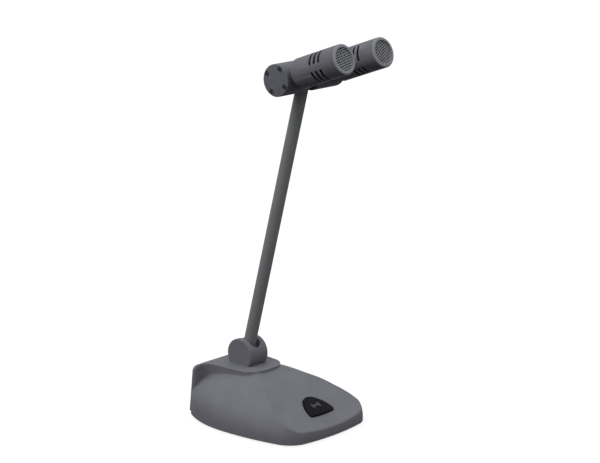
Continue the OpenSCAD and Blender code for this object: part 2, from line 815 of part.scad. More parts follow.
module right_end_cap() {
    color(dark_paint) in_head() end_cap();
}
module left_cap_screws() {
    color(black) in_head() mirror([1, 0, 0]) cap_screws();
}
module right_cap_screws() {
    color(black) in_head() cap_screws();
}
// Screw hole of the right bearing block, with z toward the back
module in_block_hole() {
    translate([(block_in + block_out) / 2, 0, 0]) rotate([-90, 0, 0]) children();
}
module bearing_blocks() {
    color(steel) in_head() both_sides() difference() {
        rod(cross_bore_r - fit, block_in, block_out);
        rod(spindle_d / 2 + fit, 0, far);
        translate([0, -far / 2, block_flat]) cube(far);
        in_block_hole() disc(m3 / 2 + fit, spindle_d / 2 + 2, far);
    }
}
module bearing_screws() {
    color(black) in_head() both_sides()
        in_block_hole() difference() {
            disc(m3 / 2, spindle_d / 2 + 2.2, cross_r - 0.8);
            translate([0, 0, cross_r - 2.4]) cylinder(d = 0.55 * m3, h = far, $fn = 6);
        }
}
module head_spindle() {
    color(steel) in_head() rod(spindle_d / 2, -spindle_half, spindle_half);
}
module spindle_nuts() {
    color(brass) in_head() both_sides() difference() {
        translate([block_out + fit, 0, 0]) rotate([0, 90, 0])
            cylinder(d = nut_w / cos(30), h = nut_t, $fn = 6);
        rod(spindle_d / 2 + fit, 0, far);
    }
}
module head_washers() {
    color(black) in_head() both_sides() difference() {
        rod(head_washer_r, head_eye_w / 2 + fit, head_eye_w / 2 + fit + head_washer_t);
        rod(spindle_d / 2 + 2 * fit, 0, far);
    }
}
module head_leads() {
    high = (block_flat + cross_bore_r) / 2;
    color(black) in_head() both_sides() tube(bend([
        [head_eye_w / 2 + 2 * stop, 0, high],
        [block_out, 0, high],
        [spindle_half, 0.5, high - 0.2],
        [cap_x - 1.5, 0.5, high / 2],
        [cap_x, -2.5, 0.4],
        [cap_x, -neck_seat, 0],
        [cap_x, -sleeve_back - 8, 0],
        [cap_x, -capsule_z + stop, 0]
    ], 4), 0.8 * lead_d, [0.35, 0.2, 1]);
}

// Capsules, with z forward from the crossbar axis
module neck() {
    color(dark_paint) difference() {
        union() {
            disc(neck_d / 2, neck_seat, sleeve_back);
            disc(neck_thread_d / 2, neck_inner_z, sleeve_back + sleeve_floor + neck_nut_t);
        }
        disc(neck_bore / 2, 0, far);
    }
}
neck_inner_z = sqrt(cross_bore_r * cross_bore_r - neck_nut_d * neck_nut_d / 4) - stop - neck_nut_t;
module neck_nuts() {
    color(brass) {
        hoop(neck_nut_d / 2, neck_thread_d / 2 + fit, neck_inner_z, neck_inner_z + neck_nut_t);
        hoop(neck_nut_d / 2, neck_thread_d / 2 + fit,
            sleeve_back + sleeve_floor, sleeve_back + sleeve_floor + neck_nut_t);
    }
}
module slot_wedge() {
    linear_extrude(height = slot_w, center = true)
        polygon(concat([[0, 0]], [for (i = [0:4])
            let (a = mix(-slot_arc / 2, slot_arc / 2, i / 4)) 2 * sleeve_r * [-sin(a), cos(a)]]));
}
module sleeve(turn) {
    color(paint) difference() {
        disc(sleeve_r, sleeve_back, sleeve_front);
        disc(sleeve_in_r, sleeve_back + sleeve_floor, far);
        disc(neck_thread_d / 2 + fit, 0, far);
        for (row = [0:2], k = [0:3]) {
            translate([0, 0, slot_first + row * slot_pitch]) rotate(turn + 45 + 90 * k) slot_wedge();
        }
    }
}
module screen() {
    color(black) hoop(holder_r, holder_r - screen_t, slot_first - 4, capsule_z - 1 - stop);
}
module holder() {
    color(black) difference() {
        disc(holder_r, capsule_z - 1, capsule_z + capsule_len);
        disc(capsule_r + fit, capsule_z, far);
        disc(capsule_r - 3, 0, far);
    }
}
module capsule() {
    color(steel) disc(capsule_r, capsule_z, capsule_z + capsule_len);
}
module foam() {
    color(foam_grey) disc(mouth_r, grille_z - stop - foam_t, grille_z - stop);
}
module grille(turn) {
    span = floor(mouth_r / mesh_pitch);
    hole = mesh_pitch - mesh_wire;
    color(dark_paint) translate([0, 0, grille_z]) rotate(turn)
    linear_extrude(height = grille_t) difference() {
        circle(r = mouth_r + 0.35 - fit);
        for (i = [-span:span], j = [-span:span]) {
            if (norm([i, j]) * mesh_pitch + 0.75 * hole < mouth_r) {
                translate([i * mesh_pitch, j * mesh_pitch]) square(hole, center = true);
            }
        }
    }
}
module front_ring() {
    color(paint) rotate_extrude() polygon(concat(
        [
            [mouth_r + 0.35, sleeve_front - 1.8],
            [holder_r, sleeve_front - 1.8],
            [holder_r, sleeve_front],
            [sleeve_r, sleeve_front]
        ],
        [for (i = [0:6]) let (a = 15 * i)
            [sleeve_r - ring_round * (1 - cos(a)), ring_front - ring_round * (1 - sin(a))]],
        [
            [mouth_r, ring_front],
            [mouth_r, grille_z + grille_t + fit],
            [mouth_r + 0.35, grille_z + grille_t + fit]
        ]
    ));
}

// Talk key, with y up the slope and z out of it
function key_in(p) =
    let (mid_y = key_set + key_wide,
         left = key_side_r - norm([p.x - key_half + key_side_r, p.y - mid_y]),
         right = key_side_r - norm([p.x + key_half - key_side_r, p.y - mid_y]),
         front = key_front_r - norm([p.x, p.y - key_set - key_front_r]))
    round_min(round_min(left, right, key_point_r), front, key_corner_r);
module key_plan(inset) {
    polygon(outline(function(p) key_in(p) > inset, [0, key_set + 8], 60));
}
module talk_key() {
    color(black) in_slope() {
        translate([0, 0, key_base_z]) linear_extrude(height = key_proud - key_base_z) key_plan(0);
        translate([0, 0, key_base_z]) linear_extrude(height = key_flange_t) key_plan(-key_flange);
        translate([0, switch_s, 0]) disc(0.7 * plunger_d, post_z, key_base_z + eps);
    }
}
module switch_plunger() {
    color("white") in_slope() translate([0, switch_s, 0]) disc(plunger_d / 2, post_z - plunger_len, post_z);
}
module switch_body() {
    color(black) in_slope() difference() {
        translate([-switch_w / 2, switch_s - switch_d / 2, bracket_z]) cube([switch_w, switch_d, switch_t]);
        translate([0, switch_s, 0]) disc(plunger_d / 2 + fit, post_z - plunger_len - key_travel - stop, 0);
    }
}
module switch_bracket() {
    color(steel) in_slope() difference() {
        translate([-bracket_x - bracket_over, switch_s - switch_d / 2, bracket_z - bracket_t])
            cube([2 * (bracket_x + bracket_over), switch_d, bracket_t]);
        both_sides() translate([bracket_x, switch_s, bracket_z])
            disc(m25 / 2 + fit, -2 * bracket_t, bracket_t);
    }
}
module bracket_screws() {
    color(steel) in_slope() both_sides()
        translate([bracket_x, switch_s, bracket_z - bracket_t])
            mirror([0, 0, 1]) pan_screw(m25, bracket_t + bracket_grip);
}

// Board and transformer
module board_screw_places() {
    for (sx = [-1, 1], y = [-board_front + board_edge, -board_back - board_edge]) {
        translate([sx * (board_half - board_edge), y, 0]) children();
    }
}
module preamp_board() {
    color(board_green) difference() {
        translate([-board_half, -board_front, board_z])
            cube([2 * board_half, board_front - board_back, board_t]);
        board_screw_places() disc(m25 / 2 + fit, 0, far);
    }
}
module board_standoffs() {
    color(brass) board_screw_places() hoop(m25, m25 / 2 + fit, plate_top, board_z);
}
module board_screws() {
    color(steel) board_screw_places()
        translate([0, 0, board_z + board_t]) pan_screw(m25, board_t + standoff_h - 0.5);
}
module board_capacitors() {
    color(black) for (i = [0:3]) {
        translate([(i - 1.5) * capacitor_pitch, -board_front + capacitor_set, 0])
            disc(capacitor_d / 2, board_z + board_t, board_z + board_t + capacitor_h);
    }
}
core_yoke = core_leg / 2;
window_w = (core_w - core_leg - 2 * core_yoke) / 2;
module in_transformer() {
    translate([-trans_x, 0, plate_top + core_h / 2]) children();
}
module transformer_core() {
    color(steel) in_transformer() difference() {
        cube([core_w, core_d, core_h], center = true);
        for (s = [-1, 1]) {
            translate([s * (core_leg + window_w) / 2, 0, 0])
                cube([window_w, 2 * core_d, core_h - 2 * core_yoke], center = true);
        }
    }
}
module transformer_winding() {
    coil_w = core_leg + 2 * window_w - 2 * fit;
    color(copper) in_transformer() difference() {
        cube([coil_w, core_d + 2 * coil_out, core_h - 2 * core_yoke - 2 * fit], center = true);
        cube([core_leg + 2 * fit, core_d + 2 * fit, core_h], center = true);
    }
}

// Rear socket, with z outward
module socket_shell() {
    color(steel) in_socket() difference() {
        union() {
            translate([-flange_w / 2, -flange_h / 2, 0]) cube([flange_w, flange_h, flange_t]);
            disc(socket_r, -socket_depth, flange_t);
        }
        disc(socket_in_r, -socket_depth - 1, far);
        both_sides() translate([socket_screw_x, 0, 0]) disc(m3 / 2 + fit, -1, far);
    }
}
module socket_insert() {
    color(black) in_socket() difference() {
        union() {
            disc(insert_r, -insert_depth, flange_t - stop);
            disc(socket_in_r - fit, -insert_depth, -insert_gap);
        }
        contact_places() disc(contact_d / 2 + fit, -far, far);
    }
}
module contact_places() {
    for (k = [0:4]) {
        rotate(45 * k) translate([contact_circle, 0, 0]) children();
    }
}
module socket_contacts() {
    color(brass) in_socket() contact_places() difference() {
        disc(contact_d / 2, -contact_tail, flange_t - 2 * stop);
        disc(contact_d / 3, -insert_gap, far);
    }
}
module socket_screws() {
    color(steel) in_socket() both_sides()
        translate([socket_screw_x, 0, flange_t]) pan_screw(m3, flange_t + wall);
}

// Leads in the base
module base_leads() {
    board_top = board_z + board_t;
    switch_end = [0, key_y, slope_z(key_y)]
        + (switch_s + switch_d / 2 - key_mid) * [0, cos(key_tilt), sin(key_tilt)]
        + (bracket_z + switch_t / 2) * [0, -sin(key_tilt), cos(key_tilt)];
    coil_end = core_d / 2 + coil_out + stop;
    lead_end = board_top + stop;
    coil_z = plate_top + core_h / 2;
    tail_end = socket_y - contact_tail - stop;
    color(black) {
        tube(bend([[0, 2, top_h - 1], [0, 2, top_h - 8], [0, -6, 22], [0, -19, 15], [0, -20, lead_end]], 4),
            lead_d, [1, 0, 0]);
        tube(bend([switch_end + [0, stop, 0], switch_end + [0, 4, 1.6], [0, 5 - board_front, board_top + 3],
            [0, 6 - board_front, lead_end]], 4), 0.8 * lead_d, [1, 0, 0]);
        tube(bend([[-trans_x, -coil_end, coil_z], [-trans_x, -coil_end - 4, coil_z],
            [-trans_x + 3, -board_back - 6, board_top + 3], [-trans_x + 3, -board_back - 7, lead_end]], 4),
            0.8 * lead_d, [1, 0, 0]);
        tube(bend([[-contact_circle, tail_end, socket_h], [-contact_circle, tail_end - 3, socket_h],
            [-contact_circle - 4, tail_end - 5, socket_h - 1],
            [-trans_x / 2, coil_end + 2, coil_z + 2], [-trans_x, coil_end + 4, coil_z],
            [-trans_x, coil_end, coil_z]], 4),
            0.8 * lead_d, [0, 0, 1]);
    }
}

// Named sub-parts
module left_neck() in_capsule(-1) neck();
module left_neck_nuts() in_capsule(-1) neck_nuts();
module left_sleeve() in_capsule(-1) sleeve(0);
module left_screen() in_capsule(-1) screen();
module left_holder() in_capsule(-1) holder();
module left_capsule() in_capsule(-1) capsule();
module left_foam() in_capsule(-1) foam();
module left_grille() in_capsule(-1) grille(grille_turn);
module left_ring() in_capsule(-1) front_ring();
module right_neck() in_capsule(1) neck();
module right_neck_nuts() in_capsule(1) neck_nuts();
module right_sleeve() in_capsule(1) sleeve(right_turn);
module right_screen() in_capsule(1) screen();
module right_holder() in_capsule(1) holder();
module right_capsule() in_capsule(1) capsule();
module right_foam() in_capsule(1) foam();
module right_grille() in_capsule(1) grille(-grille_turn);
module right_ring() in_capsule(1) front_ring();

base_shell();
base_plate();
base_pad();
plate_screws();
hinge_barrel();
hinge_screws();
hinge_pin();
hinge_washers();
preamp_board();
board_standoffs();
board_screws();
board_capacitors();
transformer_core();
transformer_winding();
switch_bracket();
bracket_screws();
switch_body();
socket_shell();
socket_insert();
socket_contacts();
socket_screws();
base_leads();
talk_key();
switch_plunger();
stem_tube();
stem_foot();
stem_head();
stem_lead();
crossbar();
left_end_cap();
right_end_cap();
left_cap_screws();
right_cap_screws();
bearing_blocks();
bearing_screws();
head_spindle();
spindle_nuts();
head_washers();
head_leads();
left_neck();
left_neck_nuts();
left_sleeve();
left_screen();
left_holder();
left_capsule();
left_foam();
left_grille();
left_ring();
right_neck();
right_neck_nuts();
right_sleeve();
right_screen();
right_holder();
right_capsule();
right_foam();
right_grille();
right_ring();
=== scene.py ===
"""The looks of the desk microphone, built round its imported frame.

Sizes are in millimetres. The origin is on the table, straight below the hinge axis of the
stem, and the front is toward -Y. Most sizes are those of the part's source. The ones that
were measured again in the photograph for this model alone stand under their own headings.
"""

import json
import math

import bmesh
import bpy
import numpy as np
from mathutils import Matrix, Vector

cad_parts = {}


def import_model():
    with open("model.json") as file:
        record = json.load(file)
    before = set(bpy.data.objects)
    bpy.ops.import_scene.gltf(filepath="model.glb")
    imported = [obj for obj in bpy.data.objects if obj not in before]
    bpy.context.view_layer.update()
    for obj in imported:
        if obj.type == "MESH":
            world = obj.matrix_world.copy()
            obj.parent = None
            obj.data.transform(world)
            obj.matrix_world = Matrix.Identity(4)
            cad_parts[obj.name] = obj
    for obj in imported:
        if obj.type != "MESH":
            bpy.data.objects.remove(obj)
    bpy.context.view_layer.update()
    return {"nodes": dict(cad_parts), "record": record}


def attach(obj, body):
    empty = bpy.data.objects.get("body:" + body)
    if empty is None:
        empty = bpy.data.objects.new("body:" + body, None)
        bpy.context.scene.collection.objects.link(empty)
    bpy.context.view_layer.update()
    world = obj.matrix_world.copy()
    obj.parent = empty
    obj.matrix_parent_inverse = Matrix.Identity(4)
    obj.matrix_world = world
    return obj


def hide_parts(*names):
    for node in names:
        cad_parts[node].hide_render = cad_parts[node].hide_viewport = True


MM = 0.001

# Meshes and fits
PULL_ROUNDS = 4
SMOOTH_BELOW = 35
FIT = 0.05
SCREW_HOLE_R = 1.55

# Base casting
BASE_HALF = 55.5
BASE_FRONT = 94.0
BASE_REAR = 28.0
WIDE_AT = 21.0
SIDE_FRONT_R = 212.0
SIDE_REAR_R = 78.0
FRONT_R = 190.0
FRONT_CORNER_R = 10.0
TOP_H = 39.5
LIP_H = 9.4
SLOPE_TILT = math.radians(21.5)
SLOPE_CROWN = 2.5
SLOPE_RUN = (TOP_H - LIP_H) / math.tan(SLOPE_TILT)
WALL = 3.0
ROOF_T = 3.5
BASE_GAP = 1.0
SWELL_SPAN = 40.0
SWELL_FRONT = 34.9
CLIMB_FRONT = 0.36
CLIMB_REAR = 0.25
TONGUE_FRONT = 24.5
TONGUE_HALF = 20.6
TONGUE_R = 9.0
TONGUE_FLARE = math.radians(6)
TONGUE_BOW_R = 75.0
TONGUE_CORNER_R = TONGUE_R + 1
HOLLOW_R = 6.0
PANEL_FRONT = 22.0
PANEL_BACK = 24.5
PLATE_TOP = 3.5
PLATE_BOSSES = [(40, -12), (30, 14), (33, -72)]
BOSS_R = 4.0

# Base casting, as measured for this model
REAR_CORNER_R = 8.0
PANEL_HALF = 38.0
PANEL_CORNER_R = 4.5
PANEL_FRONT_R = 1.0
CREASE_R = 0.6
EDGE_R = 0.6
FOOT_R = 0.5
UNDER_R = 0.4
DISH = 1.0
DISH_RUN = 1.2
KNEE = 1.0
KNEE_Y = -44.0
KNEE_SPAN = 12.0
SWELL_REAR = 36.2
SWELL_FROM = -62.0
SWELL_RUN = 16.0
CLIMB_FROM = -37.0
CLIMB_RUN = 49.0
CASTING_GRID = 0.5
ROOM_GRID = 1.0
ROOM_SPARE = 0.3
ROOM_LOW = -2

# Rear socket
SOCKET_Y = 24.9
SOCKET_H = 19.0
FLANGE_W = 29.0
FLANGE_H = 20.0
SOCKET_R = 8.6
SOCKET_SCREW_X = 11.2
SEAT_GAP = 0.3

# Hinge and stem
PIVOT_H = 47.5
PIVOT_RISE = 8.0
BARREL_HALF = 10.0
SLOT_HALF = 5.4
CHEEK_HALF = 5.5
EYE_ROOM_R = 8.2
EYE_WAY = 7.8
PIN_R = 3.0
PIN_BITE = 3.3
PIN_HEAD_R = 4.5
PIN_HEAD_T = 2.7
STEM_R = 5.0
STEM_BORE_R = 3.75
STEM_LEN = 239.0
STEM_LEAN = math.radians(13.7)
LEAN_FRONT = math.radians(35)
LEAN_BACK = math.radians(30)
TUBE_START = 11.0
TUBE_END = 230.6
TUBE_EDGE_R = 0.25

# Hinge barrel, as measured for this model
BARREL_R = 12.9
BARREL_EDGE_R = 0.9
BARREL_SLOT_EDGE_R = 0.5
BARREL_PIN_EDGE_R = 0.25
BARREL_GRID = 0.3

# Crossbar and capsules
CROSS_R = 12.4
CROSS_BORE_R = 7.7
CROSS_HALF = 33.0
CAP_T = 3.0
CAP_SPIGOT = 3.0
CAP_SPIGOT_WALL = 1.5
CAP_EDGE_R = 0.7
CAP_SCREW_R = 9.75
CAP_HOLE_R = 1.05
CAP_RECESS_R = 2.2
CAP_RECESS_T = 1.9
CAP_RECESS_EDGE = 0.25
CROSS_EDGE_R = 0.35
CROSS_SLOT_EDGE_R = 0.5
CROSS_GRID = 0.42
HEAD_RISE = math.radians(21)
STEM_SIDE = math.radians(34.7)
NOD_DOWN = math.radians(45)
NOD_UP = math.radians(15)
BLOCK_SCREW_X = 9.95
CAP_X = 22.25
SLEEVE_R = 11.75
SLEEVE_IN_R = 10.0
SLEEVE_BACK = 17.5
SLEEVE_FRONT = 59.0
SLEEVE_FLOOR = 3.0
SLEEVE_BACK_EDGE_R = 0.9
SEAM_EDGE_R = 0.12
NECK_R = 6.0
NECK_SEAT = 10.0
NECK_THREAD_R = 4.0
NECK_BORE_R = 2.5
NECK_START = 4.0
NECK_OUT = 2
NECK_EDGE_R = 0.3
SLOT_FIRST = 37.6
SLOT_PITCH = 4.45
SLOT_ARC = math.radians(65)
RIGHT_TURN = math.radians(21.5)
RING_FRONT = 62.5
RING_ROUND = 1.4
RING_SPIGOT = 1.8
RING_LEDGE = 0.35
MOUTH_R = 9.0
GRILLE_Z = 61.3

# Slots and grilles, as measured for this model
SLOT_W = 2.4
SLOT_EDGE_R = 0.14
SLOT_EDGE_ANGLE = math.radians(50)
SLOT_STEPS = 20
SLOT_END_STEPS = 8
POCKET_R = 11.35
POCKET_SPARE = 0.8
LEFT_GRILLE_TURN = math.radians(9.5)
RIGHT_GRILLE_TURN = math.radians(23)
MESH_PITCH = 1.8
MESH_WAVE = 0.55
WIRE_R = 0.27
WIRE_FLAT = 0.45
WIRE_SIDES = 6
WIRE_STEPS = 6

# Talk key
KEY_SET = 13.1
KEY_HALF = 13.5
KEY_WIDE = 0.5
KEY_SIDE_R = 24.5
KEY_FRONT_R = 90.0
KEY_POINT_R = 6.0
KEY_CORNER_R = 1.2
KEY_PROUD = 0.9
KEY_GAP = 0.35
KEY_FLANGE = 1.6
KEY_FLANGE_T = 0.8
KEY_STOP = 0.3
KEY_EDGE_R = 0.45
KEY_CROWN = 0.35
KEY_CROWN_AT = 9
KEY_POST_R = 2.24
KEY_POST_AT = 10.5
KEY_GRID = 0.3
KEY_MID = KEY_SET + 0.75 * KEY_HALF
KEY_Y = KEY_MID * math.cos(SLOPE_TILT) - BASE_FRONT
KEY_AT = (KEY_Y + BASE_FRONT) / SLOPE_RUN
KEY_Z = (LIP_H + (KEY_Y + BASE_FRONT) * math.tan(SLOPE_TILT)
         + 4 * SLOPE_CROWN * KEY_AT * (1 - KEY_AT))
KEY_TILT = math.atan(math.tan(SLOPE_TILT) + 4 * SLOPE_CROWN / SLOPE_RUN * (1 - 2 * KEY_AT))
KEY_SAG = 4 * SLOPE_CROWN * ((KEY_MID - KEY_SET + KEY_FLANGE) / SLOPE_RUN) ** 2
KEY_LOW = -(WALL * math.cos(KEY_TILT) + KEY_SAG + KEY_STOP) - KEY_FLANGE_T
MARK_Y = KEY_SET + 9.6
MARK_DOT_R = 0.7
MARK_ARC_R = (2.4, 4.1)
MARK_LINE_W = 0.55

# Paint and metal
PAINT_GRAIN_MM = 0.32
PAINT_SPREAD = 0.12
METAL_GRAIN_MM = 0.5
FORWARD = (0, -math.cos(HEAD_RISE), math.sin(HEAD_RISE))
# Painted highlight: a face that looks along FORWARD is painted lighter by this share
FRONT_HIGHLIGHT_SHARE = 1.75
FRONT_HIGHLIGHT_FROM = 0.15
FRONT_HIGHLIGHT_FULL = 0.85
WORN_SHARE = 1.6
WORN_MOST = 0.5
WORN_FROM = 0.53
WORN_FULL = 0.62
PAINT_SHINE = 0.02
GREY = (0.161, 0.163, 0.183)

# Camera
VIEW_AZ = math.radians(-48.439)
VIEW_EL = math.radians(14.513)
VIEW_ROLL = math.radians(0.818)
CAMERA_AT = (-1.20755, -1.12470, 0.57480)
LENS = 129.65
SENSOR_W = 36
VIEW_END = 50

# Room and sun: a ray gets more of the room's light the higher it points
LOW_LIGHT = 0.08
HIGH_LIGHT = 1.1
LIGHT_FROM = 0.05
LIGHT_FULL = 0.5
SUN_POWER = 0.85
SUN_FROM = (-0.62, 0.2, 0.76)
SUN_WIDTH = math.radians(40)
FLOOR_HALF = 8000
FLOOR_DARK = (0.05, 0.05, 0.05)
FLOOR_SEEN = (0.2, 0.2, 0.2)
FLOOR_GLOW = (0.82, 0.82, 0.82, 1)


# Places, as matrices in millimetres
def turn(angle, axis):
    return Matrix.Rotation(angle, 4, axis)


def shift(x, y, z):
    return Matrix.Translation((x, y, z))


IN_SLOPE = shift(0, KEY_Y, KEY_Z) @ turn(KEY_TILT, "X") @ shift(0, -KEY_MID, 0)
IN_HINGE = shift(0, 0, PIVOT_H)
IN_STEM = IN_HINGE @ turn(STEM_LEAN, "X")
HEAD_AT = IN_STEM @ Vector((0, 0, STEM_LEN))
IN_HEAD = Matrix.Translation(HEAD_AT) @ turn(-HEAD_RISE, "X")
IN_SOCKET = shift(0, SOCKET_Y, SOCKET_H) @ turn(-math.pi / 2, "X")
ALONG_X = turn(math.pi / 2, "Y")


def in_capsule(side):
    return IN_HEAD @ shift(side * CAP_X, 0, 0) @ turn(math.pi / 2, "X")


# Meshes from points, profiles and fields
def make(name, points, faces):
    mesh = bpy.data.meshes.new(name)
    mesh.from_pydata([tuple(p) for p in points], [], [tuple(f) for f in faces])
    mesh.validate()
    piece = bpy.data.objects.new(name, mesh)
    bpy.context.scene.collection.objects.link(piece)
    return piece


def arc(mid, radius, start, end, count):
    """Points on an arc, with angles in degrees."""
    angles = [math.radians(start + (end - start) * i / count) for i in range(count + 1)]
    return [(mid[0] + radius * math.cos(a), mid[1] + radius * math.sin(a)) for a in angles]


def rounded(corners, count):
    """Closed profile from corners of (x, y, radius), with each corner rounded by its radius."""
    points = []
    for i, (x, y, radius) in enumerate(corners):
        here = Vector((x, y))
        before = Vector(corners[i - 1][:2]) - here
        after = Vector(corners[(i + 1) % len(corners)][:2]) - here
        if radius <= 0:
            points.append((x, y))
            continue
        before.normalize()
        after.normalize()
        half = before.angle(after) / 2
        reach = radius / math.tan(half)
        first = here + reach * before
        last = here + reach * after
        mid = here + radius / math.sin(half) * (before + after).normalized()
        for k in range(count + 1):
            along = first.lerp(last, k / count) - mid
            points.append(tuple(mid + radius * along.normalized()))
    return points


def lathe(name, profile, count):
    """Solid turned about Z from a closed profile of (radius, height) points."""
    points = []
    for k in range(count):
        c, s = math.cos(2 * math.pi * k / count), math.sin(2 * math.pi * k / count)
        points += [(r * c, r * s, z) for r, z in profile]
    n = len(profile)
    faces = []
    for k in range(count):
        for i in range(n):
            a, b = k * n + i, k * n + (i + 1) % n
            c, d = (k + 1) % count * n + (i + 1) % n, (k + 1) % count * n + i
            faces.append((a, b, c, d))
    piece = make(name, points, faces)
    with_bmesh(piece, lambda b: bmesh.ops.remove_doubles(b, verts=b.verts, dist=1e-5))
    face_outward(piece)
    return piece


def prism(name, outline, low, high):
    n = len(outline)
    points = [(x, y, low) for x, y in outline] + [(x, y, high) for x, y in outline]
    faces = [tuple(range(n))[::-1], tuple(range(n, 2 * n))]
    faces += [(i, (i + 1) % n, n + (i + 1) % n, n + i) for i in range(n)]
    piece = make(name, points, faces)
    face_outward(piece)
    return piece


def rod(name, radius, low, high, count=48):
    return prism(name, arc((0, 0), radius, 0, 360, count)[:-1], low, high)


def block(name, low, high):
    x0, y0, z0 = low
    x1, y1, z1 = high
    return prism(name, [(x0, y0), (x1, y0), (x1, y1), (x0, y1)], z0, z1)


def with_bmesh(piece, change):
    work = bmesh.new()
    work.from_mesh(piece.data)
    change(work)
    work.to_mesh(piece.data)
    work.free()


def face_outward(piece):
    with_bmesh(piece, lambda b: bmesh.ops.recalc_face_normals(b, faces=b.faces))


def moved(piece, place):
    piece.data.transform(place)
    return piece


def applied(piece, kind, **settings):
    """The piece with one modifier made part of its mesh."""
    modifier = piece.modifiers.new(kind.lower(), kind)
    for key, value in settings.items():
        setattr(modifier, key, value)
    shown = piece.evaluated_get(bpy.context.evaluated_depsgraph_get())
    mesh = bpy.data.meshes.new_from_object(shown)
    piece.modifiers.clear()
    old = piece.data
    piece.data = mesh
    bpy.data.meshes.remove(old)
    return piece


def cut(piece, *tools, operation="DIFFERENCE"):
    """The piece less its tools, which are used up."""
    for tool in tools:
        applied(piece, "BOOLEAN", object=tool, operation=operation, solver="MANIFOLD")
        bpy.data.objects.remove(tool)
    return piece


def round_max(a, b, r):
    """Larger of two fields, which rounds the outer edge between two surfaces."""
    both = np.hypot(np.maximum(a + r, 0), np.maximum(b + r, 0)) - r
    return np.where((a > -r) & (b > -r), both, np.maximum(a, b))


def round_min(a, b, r):
    """Smaller of two fields, which fills the inner corner between two surfaces."""
    return -round_max(-a, -b, r)


def skin(name, field, low, high, step):
    """Closed mesh of the zero level of a field that is negative inside the solid."""
    axes = [np.arange(a, b + step, step) for a, b in zip(low, high)]
    y, z = np.meshgrid(axes[1], axes[2], indexing="ij")
    value = np.stack([field(np.full_like(y, x), y, z) for x in axes[0]])
    inside = value < 0
    size = value.shape
    count = sum(
        inside[i:size[0] - 1 + i, j:size[1] - 1 + j, k:size[2] - 1 + k].astype(np.int8)
        for i in (0, 1) for j in (0, 1) for k in (0, 1)
    )
    active = (count > 0) & (count < 8)
    index = np.full(active.shape, -1)
    index[active] = np.arange(active.sum())
    cells = np.argwhere(active)
    total = np.zeros(cells.shape)
    hits = np.zeros(len(cells))
    for axis in range(3):
        along = np.eye(3, dtype=int)[axis]
        others = [a for a in range(3) if a != axis]
        for u in (0, 1):
            for v in (0, 1):
                start = cells.copy()
                start[:, others[0]] += u
                start[:, others[1]] += v
                a = value[tuple(start.T)]
                b = value[tuple((start + along).T)]
                crossed = (a < 0) != (b < 0)
                share = a[crossed] / (a[crossed] - b[crossed])
                total[crossed] += start[crossed] + share[:, None] * along
                hits[crossed] += 1
    points = np.array(low) + step * total / hits[:, None]
    faces = []
    for axis in range(3):
        first = np.moveaxis(inside, axis, 0)[:-1, 1:-1, 1:-1]
        second = np.moveaxis(inside, axis, 0)[1:, 1:-1, 1:-1]
        cell = np.moveaxis(index, axis, 0)
        for edge, flip in ((first & ~second, False), (~first & second, True)):
            i, j, k = np.nonzero(edge)
            around = (cell[i, j, k], cell[i, j + 1, k], cell[i, j + 1, k + 1], cell[i, j, k + 1])
            quad = np.stack(around, 1)
            faces.append(quad[:, ::-1] if flip != (axis == 1) else quad)
    for _ in range(PULL_ROUNDS):
        points = pulled(field, points, step)
    return make(name, points, np.concatenate(faces))


def pulled(field, points, step):
    """Points moved onto the zero level along the field's slope."""
    x, y, z = points.T
    value = field(x, y, z)
    h = 0.02 * step
    slope = np.stack([
        field(x + h, y, z) - field(x - h, y, z),
        field(x, y + h, z) - field(x, y - h, z),
        field(x, y, z + h) - field(x, y, z - h),
    ], 1) / (2 * h)
    steep = np.maximum((slope ** 2).sum(1), 0.2)
    move = slope * (-value / steep)[:, None]
    length = np.linalg.norm(move, axis=1)
    limit = np.minimum(1, 0.4 * step / np.maximum(length, 1e-9))
    return points + move * limit[:, None]


def outline(inside, middle, count, out=60.0):
    """Points where a test turns false, on rays from a middle point."""
    points = []
    for i in range(count):
        c, s = math.cos(2 * math.pi * i / count), math.sin(2 * math.pi * i / count)
        near, far = 0.0, out
        for _ in range(32):
            half = (near + far) / 2
            if inside(middle[0] + half * c, middle[1] + half * s):
                near = half
            else:
                far = half
        points.append((middle[0] + near * c, middle[1] + near * s))
    return points


# Materials
def nodes_of(name):
    material = bpy.data.materials.new(name)
    material.use_nodes = True
    tree = material.node_tree
    return material, tree, tree.nodes["Principled BSDF"]


def noise(tree, size_mm, detail=2.0, roughness=0.5, stretch=(1, 1, 1)):
    """Noise whose features are about the given size, in the piece's own coordinates."""
    place = tree.nodes.new("ShaderNodeTexCoord")
    scale = tree.nodes.new("ShaderNodeMapping")
    scale.inputs["Scale"].default_value = stretch
    texture = tree.nodes.new("ShaderNodeTexNoise")
    texture.inputs["Scale"].default_value = 1 / (size_mm * MM)
    texture.inputs["Detail"].default_value = detail
    texture.inputs["Roughness"].default_value = roughness
    tree.links.new(place.outputs["Object"], scale.inputs["Vector"])
    tree.links.new(scale.outputs["Vector"], texture.inputs["Vector"])
    return texture.outputs["Fac"]


def ramp(tree, value, stops):
    """Colour ramp through (position, colour) stops."""
    node = tree.nodes.new("ShaderNodeValToRGB")
    elements = node.color_ramp.elements
    while len(elements) < len(stops):
        elements.new(0.5)
    for element, (position, colour) in zip(elements, stops):
        element.position = position
        element.color = (*colour, 1)
    tree.links.new(value, node.inputs["Fac"])
    return node.outputs["Color"]


def span(tree, value, low, high, start=0.3, end=0.7):
    node = tree.nodes.new("ShaderNodeMapRange")
    node.inputs["From Min"].default_value = start
    node.inputs["From Max"].default_value = end
    node.inputs["To Min"].default_value = low
    node.inputs["To Max"].default_value = high
    tree.links.new(value, node.inputs["Value"])
    return node.outputs["Result"]


